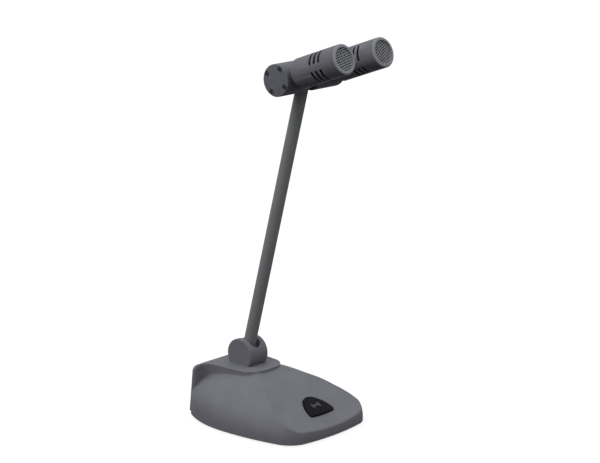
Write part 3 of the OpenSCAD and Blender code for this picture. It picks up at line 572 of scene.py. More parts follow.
def blended(tree, factor, first, second, kind="MIX"):
    node = tree.nodes.new("ShaderNodeMix")
    node.data_type = "RGBA"
    node.blend_type = kind
    for value, number in ((factor, 0), (first, 6), (second, 7)):
        socket = node.inputs[number]
        if isinstance(value, bpy.types.NodeSocket):
            tree.links.new(value, socket)
        elif isinstance(value, float):
            socket.default_value = value
        else:
            socket.default_value = (*value, 1)
    return node.outputs[2]


def bump(tree, shader, height, strength, depth_mm):
    node = tree.nodes.new("ShaderNodeBump")
    node.inputs["Strength"].default_value = strength
    node.inputs["Distance"].default_value = depth_mm * MM
    tree.links.new(height, node.inputs["Height"])
    tree.links.new(node.outputs["Normal"], shader.inputs["Normal"])


def tint(colour, share):
    return tuple(min(1, c * share) for c in colour)


def paint(name, colour, front=None):
    """Matt powder paint: a fine grain, faint clouds, and edges rubbed a little lighter.

    A face that looks along the front direction is painted lighter as a whole: a painted highlight
    of the light that falls on it from the front.
    """
    material, tree, shader = nodes_of(name)
    grain = noise(tree, PAINT_GRAIN_MM, 3.0, 0.6)
    cloud = noise(tree, 16, 2.0)
    speckle = ramp(tree, grain, [(0.32, tint(colour, 1 - PAINT_SPREAD)),
                                 (0.68, tint(colour, 1 + PAINT_SPREAD))])
    clouds = ramp(tree, cloud, [(0.35, (0.94, 0.94, 0.95)), (0.65, (1.0, 1.0, 1.0))])
    body = blended(tree, 1.0, speckle, clouds, "MULTIPLY")
    edge = tree.nodes.new("ShaderNodeNewGeometry")
    rub = span(tree, edge.outputs["Pointiness"], 0.0, WORN_MOST, WORN_FROM, WORN_FULL)
    worn = tree.nodes.new("ShaderNodeMath")
    worn.operation = "MULTIPLY"
    tree.links.new(rub, worn.inputs[0])
    tree.links.new(span(tree, noise(tree, 3.5, 3.0), 0.3, 1.0), worn.inputs[1])
    colours = blended(tree, worn.outputs[0], body, tint(colour, WORN_SHARE))
    # Painted highlight: faces toward the front direction get a lighter colour, standing in for
    # light from the front
    if front is not None:
        facing = tree.nodes.new("ShaderNodeVectorMath")
        facing.operation = "DOT_PRODUCT"
        facing.inputs[1].default_value = front
        place = tree.nodes.new("ShaderNodeTexCoord")
        tree.links.new(place.outputs["Normal"], facing.inputs[0])
        front_highlight = span(tree, facing.outputs["Value"], 0.0, 1.0, FRONT_HIGHLIGHT_FROM, FRONT_HIGHLIGHT_FULL)
        colours = blended(tree, front_highlight, colours, tint(colour, FRONT_HIGHLIGHT_SHARE))
    tree.links.new(colours, shader.inputs["Base Color"])
    tree.links.new(span(tree, grain, 0.5, 0.68), shader.inputs["Roughness"])
    shader.inputs["Specular IOR Level"].default_value = PAINT_SHINE
    bump(tree, shader, grain, 0.35, 0.05)
    return material


def moulded(name, colour, rough=(0.4, 0.55), grain_mm=0.25, depth_mm=0.02, specular=0.05):
    """Moulded plastic or rubber with a fine spark-eroded grain."""
    material, tree, shader = nodes_of(name)
    grain = noise(tree, grain_mm, 2.0)
    cloud = noise(tree, 7, 2.0)
    speckle = ramp(tree, grain, [(0.3, tint(colour, 0.8)), (0.7, tint(colour, 1.4))])
    clouds = ramp(tree, cloud, [(0.3, tint(colour, 0.9)), (0.7, tint(colour, 1.15))])
    mixed = blended(tree, 0.5, speckle, clouds)
    tree.links.new(mixed, shader.inputs["Base Color"])
    tree.links.new(span(tree, cloud, *rough), shader.inputs["Roughness"])
    shader.inputs["Specular IOR Level"].default_value = specular
    bump(tree, shader, grain, 0.3, depth_mm)
    return material


def metal(name, colour, rough=(0.28, 0.45), stretch=(1, 1, 12)):
    """Bright metal with fine drawn or turned lines."""
    material, tree, shader = nodes_of(name)
    lines = noise(tree, METAL_GRAIN_MM, 3.0, 0.6, stretch)
    cloud = noise(tree, 5, 2.0)
    tree.links.new(ramp(tree, cloud, [(0.3, tint(colour, 0.85)), (0.7, tint(colour, 1.08))]),
                   shader.inputs["Base Color"])
    tree.links.new(span(tree, lines, *rough), shader.inputs["Roughness"])
    shader.inputs["Metallic"].default_value = 1.0
    bump(tree, shader, lines, 0.15, 0.02)
    return material


def foam_material(name, colour):
    material, tree, shader = nodes_of(name)
    place = tree.nodes.new("ShaderNodeTexCoord")
    cells = tree.nodes.new("ShaderNodeTexVoronoi")
    cells.inputs["Scale"].default_value = 1 / (0.5 * MM)
    tree.links.new(place.outputs["Object"], cells.inputs["Vector"])
    depth = cells.outputs["Distance"]
    tree.links.new(ramp(tree, depth, [(0.1, tint(colour, 0.5)), (0.6, tint(colour, 1.5))]),
                   shader.inputs["Base Color"])
    shader.inputs["Roughness"].default_value = 0.95
    shader.inputs["Specular IOR Level"].default_value = 0.1
    bump(tree, shader, depth, 0.8, 0.3)
    return material


def board_material(name, colour):
    """Solder resist over copper lands, which show as lighter blocks."""
    material, tree, shader = nodes_of(name)
    place = tree.nodes.new("ShaderNodeTexCoord")
    lands = tree.nodes.new("ShaderNodeTexVoronoi")
    lands.distance = "CHEBYCHEV"
    lands.feature = "F2"
    lands.inputs["Scale"].default_value = 1 / (6 * MM)
    tree.links.new(place.outputs["Object"], lands.inputs["Vector"])
    land = lands.outputs["Distance"]
    tree.links.new(ramp(tree, land, [(0.55, tint(colour, 1.5)), (0.6, colour)]),
                   shader.inputs["Base Color"])
    tree.links.new(span(tree, noise(tree, 0.6), 0.25, 0.4), shader.inputs["Roughness"])
    bump(tree, shader, land, 0.3, 0.03)
    return material


def winding_material(name, colour):
    """Turns of enamelled wire."""
    material, tree, shader = nodes_of(name)
    place = tree.nodes.new("ShaderNodeTexCoord")
    turns = tree.nodes.new("ShaderNodeTexWave")
    turns.bands_direction = "Z"
    turns.inputs["Scale"].default_value = 1 / (1.6 * MM)
    turns.inputs["Distortion"].default_value = 0.6
    tree.links.new(place.outputs["Object"], turns.inputs["Vector"])
    wire = turns.outputs["Fac"]
    tree.links.new(ramp(tree, wire, [(0.1, tint(colour, 0.3)), (0.8, colour)]),
                   shader.inputs["Base Color"])
    tree.links.new(span(tree, wire, 0.45, 0.3), shader.inputs["Roughness"])
    shader.inputs["Metallic"].default_value = 0.8
    bump(tree, shader, wire, 0.6, 0.2)
    return material


def make_materials():
    return {
        "grey_paint": paint("grey_paint", GREY),
        # The stem's grey paint made lighter, a painted light standing in for how brightly the stem
        # is lit
        "stem_paint_lit": paint("stem_paint_lit", (0.230, 0.236, 0.244)),
        "dark_paint": paint("dark_paint", (0.152, 0.156, 0.175)),
        # The ring's grey paint with a painted highlight on its forward-facing face
        "ring_paint_front_highlight": paint("ring_paint_front_highlight", GREY, front=FORWARD),
        # The grille's dark paint made much lighter, a painted highlight standing in for light on
        # the wires
        "grille_paint_lit": paint("grille_paint_lit", (0.330, 0.335, 0.350)),
        "rubber_pad": moulded("rubber_pad", (0.020, 0.020, 0.022), (0.75, 0.9), 0.6, 0.06),
        "key_plastic": moulded("key_plastic", (0.009, 0.0095, 0.012), (0.38, 0.5), specular=0.02),
        "foam": foam_material("foam", (0.012, 0.012, 0.013)),
        "board": board_material("board", (0.03, 0.11, 0.05)),
        "brass": metal("brass", (0.55, 0.40, 0.17)),
        "copper_wire": winding_material("copper_wire", (0.45, 0.18, 0.08)),
        "black_plastic": moulded("black_plastic", (0.020, 0.020, 0.022)),
        "lead_sheath": moulded("lead_sheath", (0.02, 0.02, 0.02), (0.5, 0.65), 1.5, 0.03),
        "black_steel": metal("black_steel", (0.05, 0.05, 0.055), (0.35, 0.5), (1, 1, 1)),
        "steel": metal("steel", (0.45, 0.46, 0.48)),
        "key_print": moulded("key_print", (0.16, 0.16, 0.17), (0.5, 0.6), 0.3, 0.01),
    }


def finished(piece, material, body, slot, *replaced, smooth=SMOOTH_BELOW):
    """The piece in metres, shaded, painted, riding on its body and standing for its nodes."""
    piece.data.transform(Matrix.Scale(MM, 4))
    piece.data.shade_smooth()
    piece.data.set_sharp_from_angle(angle=math.radians(smooth))
    piece.data.materials.clear()
    piece.data.materials.append(material)
    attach(piece, body)
    if replaced:
        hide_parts(*replaced)
    return piece


# Base casting, as fields over x, y and z
def eased(t):
    t = np.clip(t, 0, 1)
    return t * t * (3 - 2 * t)


def side_in(x, y):
    r = np.where(y < -WIDE_AT, SIDE_FRONT_R, SIDE_REAR_R)
    return r - np.hypot(np.abs(x) + r - BASE_HALF, y + WIDE_AT)


def skirt_in(x, y):
    """How far a point lies in from the curved sides and front of the base."""
    front = FRONT_R - np.hypot(x, y + BASE_FRONT - FRONT_R)
    return round_min(side_in(x, y), front, FRONT_CORNER_R)


def swell_and_climb(y):
    swell = SWELL_FRONT + (SWELL_REAR - SWELL_FRONT) * eased((y - SWELL_FROM) / SWELL_RUN)
    climb = CLIMB_FRONT + (CLIMB_REAR - CLIMB_FRONT) * eased((y - CLIMB_FROM) / CLIMB_RUN)
    return swell, climb


def swelling_side(x, y, z, inset):
    """The side, which climbs steeply from the edge and eases toward the top."""
    swell, climb = swell_and_climb(y)
    height = np.maximum(z - BASE_GAP, 1e-3)
    reach = SWELL_SPAN * (height / swell) ** (1 / climb)
    lean = reach / (climb * height)
    return (reach + inset - skirt_in(x, y)) / np.sqrt(1 + lean ** 2)


def slope_over(x, y, z, dish):
    """The crowned front, sunk a little inside the crest along each side."""
    run = y + BASE_FRONT
    share = np.clip(run / SLOPE_RUN, 0, 1)
    knee = KNEE * np.exp(-((y - KNEE_Y) / KNEE_SPAN) ** 2)
    slope_z = LIP_H + run * math.tan(SLOPE_TILT) + 4 * SLOPE_CROWN * share * (1 - share) + knee
    swell, climb = swell_and_climb(y)
    side_z = BASE_GAP + swell * (np.maximum(side_in(x, y), 1e-3) / SWELL_SPAN) ** climb
    above = np.maximum(side_z - slope_z, 0)
    return (z - slope_z) * math.cos(SLOPE_TILT) + dish * above / (above + DISH_RUN)


def back_face(y, z):
    run = BASE_REAR - PANEL_BACK
    rise = TOP_H - BASE_GAP
    return (y - BASE_REAR + run * (z - BASE_GAP) / rise) * rise / math.hypot(run, rise)


def tongue_in_plan(x, y):
    side_x = TONGUE_HALF - TONGUE_R + TONGUE_R * math.cos(TONGUE_FLARE)
    side_y = -TONGUE_FRONT + TONGUE_R - TONGUE_R * math.sin(TONGUE_FLARE)
    side = (np.abs(x) - side_x - (y - side_y) * math.tan(TONGUE_FLARE)) * math.cos(TONGUE_FLARE)
    bow = x ** 2 / (2 * TONGUE_BOW_R)
    return round_max(side, bow - TONGUE_FRONT - y, TONGUE_CORNER_R)


def casting(x, y, z):
    plinth = round_max(swelling_side(x, y, z, 0), slope_over(x, y, z, DISH), CREASE_R)
    plinth = np.maximum(plinth, -round_min(skirt_in(x, y), BASE_REAR - y, REAR_CORNER_R))
    panel = round_max(np.abs(x) - PANEL_HALF, z - TOP_H, PANEL_CORNER_R)
    panel = round_max(panel, PANEL_FRONT - y, PANEL_FRONT_R)
    raised = round_min(tongue_in_plan(x, y), panel, HOLLOW_R)
    whole = round_min(plinth, raised, FOOT_R)
    whole = round_max(whole, z - TOP_H, EDGE_R)
    whole = round_max(whole, back_face(y, z), EDGE_R)
    return round_max(whole, BASE_GAP - z, UNDER_R)


def hollow(x, y, z):
    """The room inside the casting, round the screw bosses."""
    above = slope_over(x, y, z + WALL, 0) + ROOM_SPARE
    plinth = np.maximum(swelling_side(x, y, z + WALL, WALL), above)
    plinth = np.maximum(plinth, z + WALL - TOP_H)
    plinth = np.maximum(plinth, WALL - round_min(skirt_in(x, y), PANEL_BACK - y, REAR_CORNER_R))
    tongue = np.maximum(tongue_in_plan(x, y) + WALL, z - TOP_H + ROOF_T)
    tongue = np.maximum(tongue, y - PANEL_BACK + WALL)
    room = np.minimum(plinth, tongue)
    for boss_x, boss_y in PLATE_BOSSES:
        boss = np.hypot(np.abs(x) - boss_x, y - boss_y) - BOSS_R
        room = np.maximum(room, np.minimum(-boss, z - PLATE_TOP))
    return np.maximum(room, ROOM_LOW - z)


def key_in(x, y):
    """How far a point of the slope lies in from the edge of the key."""
    mid_y = KEY_SET + KEY_WIDE
    left = KEY_SIDE_R - np.hypot(x - KEY_HALF + KEY_SIDE_R, y - mid_y)
    right = KEY_SIDE_R - np.hypot(x + KEY_HALF - KEY_SIDE_R, y - mid_y)
    front = KEY_FRONT_R - np.hypot(x, y - KEY_SET - KEY_FRONT_R)
    return round_min(round_min(left, right, KEY_POINT_R), front, KEY_CORNER_R)


def key_plan(inset):
    return outline(lambda x, y: key_in(x, y) > inset, (0, KEY_SET + 8), 96)


def base_shell(materials):
    piece = skin("base_casting", casting, (-57, -95.5, 0), (57, 29.5, 41), CASTING_GRID)
    room = skin("room", hollow, (-56, -94, -4), (56, 26, 38), ROOM_GRID)
    tools = [room, moved(prism("key_hole", key_plan(-KEY_GAP), -2 * WALL, 2 * WALL), IN_SLOPE)]
    for side in (-1, 1):
        for x, y in PLATE_BOSSES:
            tools.append(rod("boss_hole", SCREW_HOLE_R, PLATE_TOP - 1, PLATE_TOP + 7, 24))
            moved(tools[-1], shift(side * x, y, 0))
        tools.append(moved(rod("screw_hole", SCREW_HOLE_R, -2 * WALL, 2 * WALL, 24),
                           IN_SOCKET @ shift(side * SOCKET_SCREW_X, 0, 0)))
    tools.append(rod("lead_hole", SLOT_HALF - 1, TOP_H - 2 * ROOF_T, TOP_H + 1))
    tools.append(moved(rod("socket_hole", SOCKET_R + FIT, -2 * WALL, 1, 64), IN_SOCKET))
    seat = block("socket_seat", (-FLANGE_W / 2 - SEAT_GAP, -FLANGE_H / 2 - SEAT_GAP, 0),
                 (FLANGE_W / 2 + SEAT_GAP, FLANGE_H / 2 + SEAT_GAP, 10))
    tools.append(moved(seat, IN_SOCKET))
    cut(piece, *tools)
    return finished(piece, materials["grey_paint"], "base", "grey_paint", "base_shell")


# Hinge barrel, with x along its axis
def swung(x, y, z, half, start, end):
    """Room of a round rod that swings about X, with angles from +Z toward -Y."""
    angle = np.clip(np.arctan2(-y, z), start, end)
    beside = y * np.cos(angle) + z * np.sin(angle)
    along = -y * np.sin(angle) + z * np.cos(angle)
    away = np.where(along > 0, np.abs(beside), np.hypot(y, z))
    return np.hypot(x, away) - half


def barrel(x, y, z):
    rho = np.hypot(y, z)
    body = round_max(rho - BARREL_R, np.abs(x) - BARREL_HALF, BARREL_EDGE_R)
    body = np.maximum(body, -PIVOT_RISE - z)
    slot = swung(x, y, z, SLOT_HALF, -LEAN_BACK, LEAN_FRONT)
    eye = np.maximum(rho - EYE_ROOM_R, np.abs(x) - CHEEK_HALF)
    way = np.maximum(np.maximum(np.abs(y) - EYE_WAY, np.abs(x) - CHEEK_HALF), z)
    body = round_max(body, -np.minimum(slot, np.minimum(eye, way)), BARREL_SLOT_EDGE_R)
    pin = np.maximum(rho - PIN_R - FIT, -CHEEK_HALF - PIN_BITE - x)
    head = np.maximum(rho - PIN_HEAD_R - 0.1, BARREL_HALF - PIN_HEAD_T - x)
    return round_max(body, -np.minimum(pin, head), BARREL_PIN_EDGE_R)


def hinge_barrel(materials):
    piece = skin("hinge_barrel_cast", barrel, (-10.8, -13.4, -8.8), (10.8, 13.4, 13.4), BARREL_GRID)
    moved(piece, IN_HINGE)
    return finished(piece, materials["grey_paint"], "base", "grey_paint", "hinge_barrel")


# Stem
def stem(materials):
    profile = rounded([
        (STEM_BORE_R, TUBE_START, 0), (STEM_R, TUBE_START, TUBE_EDGE_R),
        (STEM_R, TUBE_END, TUBE_EDGE_R), (STEM_BORE_R, TUBE_END, 0),
    ], 3)
    piece = moved(lathe("stem_turned", profile, 72), IN_STEM)
    # The stem takes a lighter copy of the grey paint: painted light
    return finished(piece, materials["stem_paint_lit"], "stem", "grey_paint", "stem_tube")


# Crossbar, with x along its axis
def crossbar_field(x, y, z):
    rho = np.hypot(y, z)
    half = CROSS_HALF - CAP_T
    body = round_max(rho - CROSS_R, np.abs(x) - half, CROSS_EDGE_R)
    body = np.maximum(body, CROSS_BORE_R - rho)
    slot = swung(x, -y, -z, SLOT_HALF, STEM_SIDE - NOD_DOWN, STEM_SIDE + NOD_UP)
    return round_max(body, -slot, CROSS_SLOT_EDGE_R)


def crossbar(materials):
    reach = CROSS_HALF - CAP_T
    piece = skin("crossbar_turned", crossbar_field,
                 (-reach - 1, -13.2, -13.2), (reach + 1, 13.2, 13.2), CROSS_GRID)
    for side in (-1, 1):
        forward = shift(side * CAP_X, 0, 0) @ turn(math.pi / 2, "X")
        backward = shift(side * BLOCK_SCREW_X, 0, 0) @ turn(-math.pi / 2, "X")
        cut(piece,
            moved(rod("neck_hole", NECK_R + FIT, NECK_SEAT, 2 * CROSS_R, 64), forward),
            moved(rod("thread_hole", NECK_THREAD_R + FIT, 0, 2 * CROSS_R), forward),
            moved(rod("block_hole", SCREW_HOLE_R, 0, 2 * CROSS_R, 32), backward))
        for k in range(4):
            spot = turn(math.radians(45 + 90 * k), "X") @ shift(0, 0, CAP_SCREW_R) @ ALONG_X
            ends = sorted((side * (reach - 6), side * (reach + 1)))
            cut(piece, moved(rod("cap_hole", CAP_HOLE_R, *ends, 16), spot))
    moved(piece, IN_HEAD)
    return finished(piece, materials["grey_paint"], "head", "grey_paint", "crossbar")


def end_cap(side, name, materials):
    """End cap, turned about Z and laid along the crossbar."""
    low = CROSS_HALF - CAP_T
    spigot_in_r = CROSS_BORE_R - CAP_SPIGOT_WALL
    spigot_r = CROSS_BORE_R - FIT
    profile = rounded([
        (0, low, 0), (spigot_in_r, low, 0), (spigot_in_r, low - CAP_SPIGOT, 0),
        (spigot_r, low - CAP_SPIGOT, 0.2), (spigot_r, low, 0),
        (CROSS_R, low, 0.2), (CROSS_R, CROSS_HALF, CAP_EDGE_R), (0, CROSS_HALF, 0),
    ], 4)
    piece = lathe(name + "_turned", profile, 128)
    floor = CROSS_HALF - CAP_RECESS_T
    brim_r = CAP_RECESS_R + CAP_RECESS_EDGE
    recess = rounded([
        (0, floor, 0), (CAP_RECESS_R, floor, 0.2), (CAP_RECESS_R, CROSS_HALF - CAP_RECESS_EDGE, 0),
        (brim_r, CROSS_HALF, 0), (brim_r, CROSS_HALF + 1, 0), (0, CROSS_HALF + 1, 0),
    ], 3)
    tools = []
    for k in range(4):
        spot = turn(math.radians(45 + 90 * k), "Z") @ shift(CAP_SCREW_R, 0, 0)
        tools.append(moved(rod("hole", CAP_HOLE_R, 0, 60, 24), spot))
        tools.append(moved(lathe("recess", recess, 40), spot))
    cut(piece, *tools)
    moved(piece, IN_HEAD @ turn(side * math.pi / 2, "Y"))
    return finished(piece, materials["dark_paint"], "head", "dark_paint", name)


# Capsules, with z forward from the crossbar axis
def sleeve(side, name, materials):
    floor = SLEEVE_BACK + SLEEVE_FLOOR
    profile = rounded([
        (NECK_THREAD_R, SLEEVE_BACK, 0), (SLEEVE_R, SLEEVE_BACK, SLEEVE_BACK_EDGE_R),
        (SLEEVE_R, SLEEVE_FRONT, SEAM_EDGE_R), (SLEEVE_IN_R, SLEEVE_FRONT, 0),
        (SLEEVE_IN_R, floor, 0), (NECK_THREAD_R, floor, 0),
    ], 5)
    piece = lathe(name + "_turned", profile, 144)
    tools = []
    for row in range(3):
        for k in range(4):
            mid = 3 * math.pi / 4 + k * math.pi / 2 + (RIGHT_TURN if side > 0 else 0)
            z = SLOT_FIRST + row * SLOT_PITCH
            tools += [slot_tool(mid, z, 0, SLEEVE_R + 1), slot_tool(mid, z, POCKET_SPARE, POCKET_R)]
    cut(piece, *tools)
    applied(piece, "BEVEL", width=SLOT_EDGE_R, segments=2, limit_method="ANGLE",
            angle_limit=SLOT_EDGE_ANGLE, use_clamp_overlap=True, harden_normals=False)
    moved(piece, in_capsule(side))
    return finished(piece, materials["grey_paint"], "head", "grey_paint", name)


def slot_tool(mid, z, spare, outer):
    """Cutter for one slot, or for the pocket that thins the wall behind it: a round-ended arc."""
    inner = SLEEVE_IN_R - 1
    end_r = SLOT_W / 2 + spare
    half = SLOT_ARC / 2 - SLOT_W / 2 / SLEEVE_R
    path = []
    for way in (-1, 1):
        path += [(mid - way * half * (1 - 2 * i / SLOT_STEPS), way * end_r)
                 for i in range(SLOT_STEPS + 1)]
        for i in range(1, SLOT_END_STEPS):
            a = math.pi * i / SLOT_END_STEPS
            reach = way * end_r * math.sin(a) / SLEEVE_R
            path.append((mid + way * half + reach, way * end_r * math.cos(a)))
    n = len(path)
    points = [(r * math.cos(a), r * math.sin(a), z + dz) for r in (inner, outer) for a, dz in path]
    points += [(r * math.cos(mid), r * math.sin(mid), z) for r in (inner, outer)]
    faces = []
    for i in range(n):
        j = (i + 1) % n
        faces += [(i, j, n + j, n + i), (j, i, 2 * n), (n + i, n + j, 2 * n + 1)]
    tool = make("slot", points, faces)
    face_outward(tool)
    return tool


def ring(side, name, materials):
    lip = GRILLE_Z + 0.3
    back = SLEEVE_FRONT - RING_SPIGOT
    spigot_r = SLEEVE_IN_R - 0.1
    ledge_r = MOUTH_R + RING_LEDGE
    profile = rounded([
        (ledge_r, back, 0), (spigot_r, back, 0),
        (spigot_r, SLEEVE_FRONT, 0), (SLEEVE_R, SLEEVE_FRONT, SEAM_EDGE_R),
        (SLEEVE_R, RING_FRONT, RING_ROUND), (MOUTH_R, RING_FRONT, 0.3),
        (MOUTH_R, lip, 0), (ledge_r, lip, 0),
    ], 6)
    piece = moved(lathe(name + "_turned", profile, 144), in_capsule(side))
    # The ring takes the grey paint with a painted highlight on its front face
    return finished(piece, materials["ring_paint_front_highlight"], "head", "grey_paint", name)


def neck(side, name, materials):
    front = SLEEVE_BACK + SLEEVE_FLOOR + NECK_OUT
    profile = rounded([
        (NECK_BORE_R, NECK_START, 0), (NECK_THREAD_R, NECK_START, NECK_EDGE_R),
        (NECK_THREAD_R, NECK_SEAT, 0), (NECK_R, NECK_SEAT, 0),
        (NECK_R, SLEEVE_BACK, 0), (NECK_THREAD_R, SLEEVE_BACK, 0),
        (NECK_THREAD_R, front, NECK_EDGE_R), (NECK_BORE_R, front, 0),
    ], 3)
    piece = moved(lathe(name + "_turned", profile, 72), in_capsule(side))
    return finished(piece, materials["dark_paint"], "head", "dark_paint", name)


def woven_grille(side, name, materials):
    """Rolled square mesh in a rim: each flat wire passes over and under those it crosses."""
    points, faces = [], []
    span_count = int(MOUTH_R / MESH_PITCH) + 1
    wave = MESH_WAVE * WIRE_FLAT * WIRE_R
    for direction in (0, 1):
        for i in range(-span_count, span_count + 1):
            across = i * MESH_PITCH
            half = math.sqrt(max((MOUTH_R + 0.2) ** 2 - across ** 2, 0))
            if half < 1:
                continue
            steps = max(4, int(2 * half / MESH_PITCH * WIRE_STEPS))
            start = len(points)
            for k in range(steps + 1):
                along = -half + 2 * half * k / steps
                phase = math.pi * (along / MESH_PITCH + i + direction)
                height = wave * math.cos(phase)
                for s in range(WIRE_SIDES):
                    a = 2 * math.pi * s / WIRE_SIDES
                    u = across + WIRE_R * math.cos(a)
                    v = height + WIRE_FLAT * WIRE_R * math.sin(a)
                    points.append((along, u, v) if direction == 0 else (u, along, v))
            for k in range(steps):
                row = start + k * WIRE_SIDES
                for s in range(WIRE_SIDES):
                    a, b = row + s, row + (s + 1) % WIRE_SIDES
                    faces.append((a, b, b + WIRE_SIDES, a + WIRE_SIDES))
            for row in (start, start + steps * WIRE_SIDES):
                faces.append(tuple(row + s for s in range(WIRE_SIDES)))
    piece = make(name + "_woven", points, faces)
    face_outward(piece)
    rim = lathe("rim", rounded([
        (MOUTH_R - 0.2, -0.3, 0), (MOUTH_R + 0.3, -0.3, 0.05),
        (MOUTH_R + 0.3, 0.3, 0.05), (MOUTH_R - 0.2, 0.3, 0.1),
    ], 3), 96)
    joined(piece, rim)
    angle = LEFT_GRILLE_TURN if side < 0 else RIGHT_GRILLE_TURN
    moved(piece, in_capsule(side) @ shift(0, 0, GRILLE_Z) @ turn(angle, "Z"))
    # The grille wires take a lightened copy of the dark paint: painted highlight
    return finished(piece, materials["grille_paint_lit"], "head", "dark_paint", name, smooth=60)


def joined(piece, *others):
    """The others' meshes added to the piece's."""
    for other in others:
        work = bmesh.new()
        work.from_mesh(piece.data)
        work.from_mesh(other.data)
        work.to_mesh(piece.data)
        work.free()
        bpy.data.objects.remove(other)
    return piece


# Talk key, with y up the slope and z out of it
def key_field(x, y, z):
    edge = -key_in(x, y)
    crown = KEY_CROWN * (np.hypot(x, y - KEY_SET - KEY_CROWN_AT) / KEY_HALF) ** 2
    body = round_max(edge, z - KEY_PROUD + crown, KEY_EDGE_R)
    body = np.maximum(body, KEY_LOW - z)
    level = np.abs(z - KEY_LOW - KEY_FLANGE_T / 2) - KEY_FLANGE_T / 2
    flange = np.maximum(edge - KEY_FLANGE, level)
    return np.minimum(body, flange)


def talk_key(materials):
    piece = skin("talk_key_moulded", key_field,
                 (-16.5, KEY_SET - 3, KEY_LOW - 1), (16.5, KEY_SET + 25, 2), KEY_GRID)
    post = rod("post", KEY_POST_R, KEY_LOW - 1.5, KEY_LOW + 0.3, 32)
    cut(piece, moved(post, shift(0, KEY_SET + KEY_POST_AT, 0)), operation="UNION")
    moved(piece, IN_SLOPE)
    finished(piece, materials["key_plastic"], "key", "key_plastic", "talk_key")
    mark = sound_mark()
    moved(mark, IN_SLOPE)
    return finished(mark, materials["key_print"], "key", "key_plastic")


def sound_mark():
    """A plain printed mark: a dot with two arcs on each side of it."""
    points, faces = [], []
    strokes = [arc((0, MARK_Y), MARK_DOT_R, 0, 360, 16)[:-1]]
    for radius in MARK_ARC_R:
        for start in (-38, 142):
            strokes.append(arc((0, MARK_Y), radius, start, start + 76, 12)
                           + arc((0, MARK_Y), radius - MARK_LINE_W, start + 76, start, 12))
    for stroke in strokes:
        base = len(points)
        n = len(stroke)
        for level in (-0.05, 0.02):
            points += [(x, y, key_top(x, y) + level) for x, y in stroke]
        if n == 16:
            faces.append(tuple(base + n + i for i in range(n)))
            faces.append(tuple(base + n - 1 - i for i in range(n)))
        else:
            half = n // 2
            for i in range(half - 1):
                a, b, c, d = i, i + 1, n - 2 - i, n - 1 - i
                faces.append(tuple(base + n + v for v in (a, b, c, d)))
                faces.append(tuple(base + v for v in (d, c, b, a)))
        faces += [(base + i, base + (i + 1) % n, base + n + (i + 1) % n, base + n + i)
                  for i in range(n)]
    piece = make("key_mark", points, faces)
    face_outward(piece)
    return piece


def key_top(x, y):
    return KEY_PROUD - KEY_CROWN * (math.hypot(x, y - KEY_SET - KEY_CROWN_AT) / KEY_HALF) ** 2


# Room, camera and lights
def make_stage():
    corners = ((-1, -1), (1, -1), (1, 1), (-1, 1))
    floor = make("floor", [(u * FLOOR_HALF, v * FLOOR_HALF, 0) for u, v in corners], [range(4)])
    floor.data.transform(Matrix.Scale(MM, 4))
    material = bpy.data.materials.new("floor")
    material.use_nodes = True
    tree = material.node_tree
    tree.nodes.clear()
    cloth = tree.nodes.new("ShaderNodeBsdfDiffuse")
    shown = seen_directly(tree)
    tree.links.new(blended(tree, shown, FLOOR_DARK, FLOOR_SEEN), cloth.inputs["Color"])
    glow = tree.nodes.new("ShaderNodeEmission")
    glow.inputs["Color"].default_value = FLOOR_GLOW
    tree.links.new(shown, glow.inputs["Strength"])
    both = tree.nodes.new("ShaderNodeAddShader")
    out = tree.nodes.new("ShaderNodeOutputMaterial")
    tree.links.new(cloth.outputs[0], both.inputs[0])
    tree.links.new(glow.outputs[0], both.inputs[1])
    tree.links.new(both.outputs[0], out.inputs["Surface"])
    floor.data.materials.append(material)

    world = bpy.data.worlds.new("room")
    bpy.context.scene.world = world
    world.use_nodes = True
    tree = world.node_tree
    background = tree.nodes["Background"]
    background.inputs["Color"].default_value = (1, 1, 1, 1)
    place = tree.nodes.new("ShaderNodeTexCoord")
    parts = tree.nodes.new("ShaderNodeSeparateXYZ")
    tree.links.new(place.outputs["Generated"], parts.inputs["Vector"])
    overhead = span(tree, parts.outputs["Z"], LOW_LIGHT, HIGH_LIGHT, LIGHT_FROM, LIGHT_FULL)
    strength = tree.nodes.new("ShaderNodeMix")
    strength.inputs[3].default_value = 1.0
    tree.links.new(seen_directly(tree), strength.inputs[0])
    tree.links.new(overhead, strength.inputs[2])
    tree.links.new(strength.outputs[0], background.inputs["Strength"])


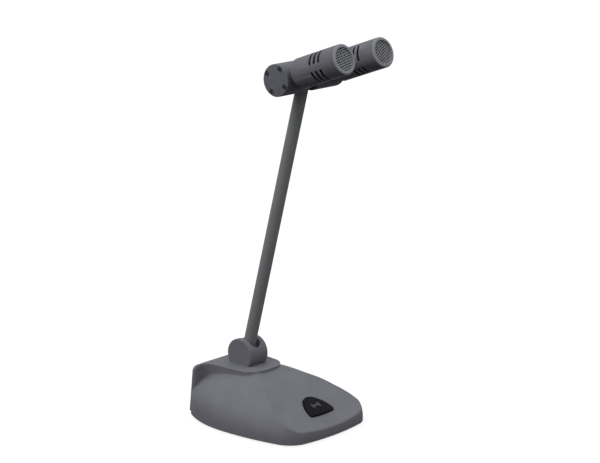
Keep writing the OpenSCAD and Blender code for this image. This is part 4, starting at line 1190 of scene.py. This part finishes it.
def seen_directly(tree):
    """1 for rays that show the background: from the camera, in gloss and through glass."""
    rays = tree.nodes.new("ShaderNodeLightPath")
    total = rays.outputs["Is Camera Ray"]
    for name in ("Is Glossy Ray", "Is Transmission Ray"):
        more = tree.nodes.new("ShaderNodeMath")
        more.operation = "MAXIMUM"
        tree.links.new(total, more.inputs[0])
        tree.links.new(rays.outputs[name], more.inputs[1])
        total = more.outputs[0]
    return total


def make_lights():
    lamp = bpy.data.lights.new("soft_key", "SUN")
    lamp.energy = SUN_POWER
    lamp.angle = SUN_WIDTH
    sun = bpy.data.objects.new("soft_key", lamp)
    sun.rotation_euler = Vector(SUN_FROM).to_track_quat("Z", "Y").to_euler()
    bpy.context.scene.collection.objects.link(sun)


def make_camera():
    level = math.cos(VIEW_EL)
    back = Vector((math.sin(VIEW_AZ) * level, -math.cos(VIEW_AZ) * level, math.sin(VIEW_EL)))
    right = Vector((math.cos(VIEW_AZ), math.sin(VIEW_AZ), 0))
    up = back.cross(right)
    tilted_right = right * math.cos(VIEW_ROLL) + up * math.sin(VIEW_ROLL)
    tilted_up = up * math.cos(VIEW_ROLL) - right * math.sin(VIEW_ROLL)
    axes = Matrix((tilted_right, tilted_up, back)).transposed().to_4x4()
    camera = bpy.data.objects.new("camera", bpy.data.cameras.new("camera"))
    camera.matrix_world = Matrix.Translation(CAMERA_AT) @ axes
    camera.data.lens = LENS
    camera.data.sensor_width = SENSOR_W
    camera.data.clip_end = VIEW_END
    bpy.context.scene.collection.objects.link(camera)
    bpy.context.scene.camera = camera


def paint_nodes(frame, materials):
    """Every CAD node that stays takes the finish of its material slot."""
    slots = {part["node"]: part["material_slot"] for part in frame["record"]["subparts"]}
    for name, node in frame["nodes"].items():
        node.data.materials.clear()
        node.data.materials.append(materials[slots[name]])


def main():
    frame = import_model()
    bpy.context.scene.view_settings.view_transform = "Standard"
    make_camera()
    make_lights()
    make_stage()
    materials = make_materials()
    paint_nodes(frame, materials)
    base_shell(materials)
    hinge_barrel(materials)
    talk_key(materials)
    stem(materials)
    crossbar(materials)
    for side, name in ((-1, "left"), (1, "right")):
        end_cap(side, name + "_end_cap", materials)
        neck(side, name + "_neck", materials)
        sleeve(side, name + "_sleeve", materials)
        ring(side, name + "_ring", materials)
        woven_grille(side, name + "_grille", materials)


main()
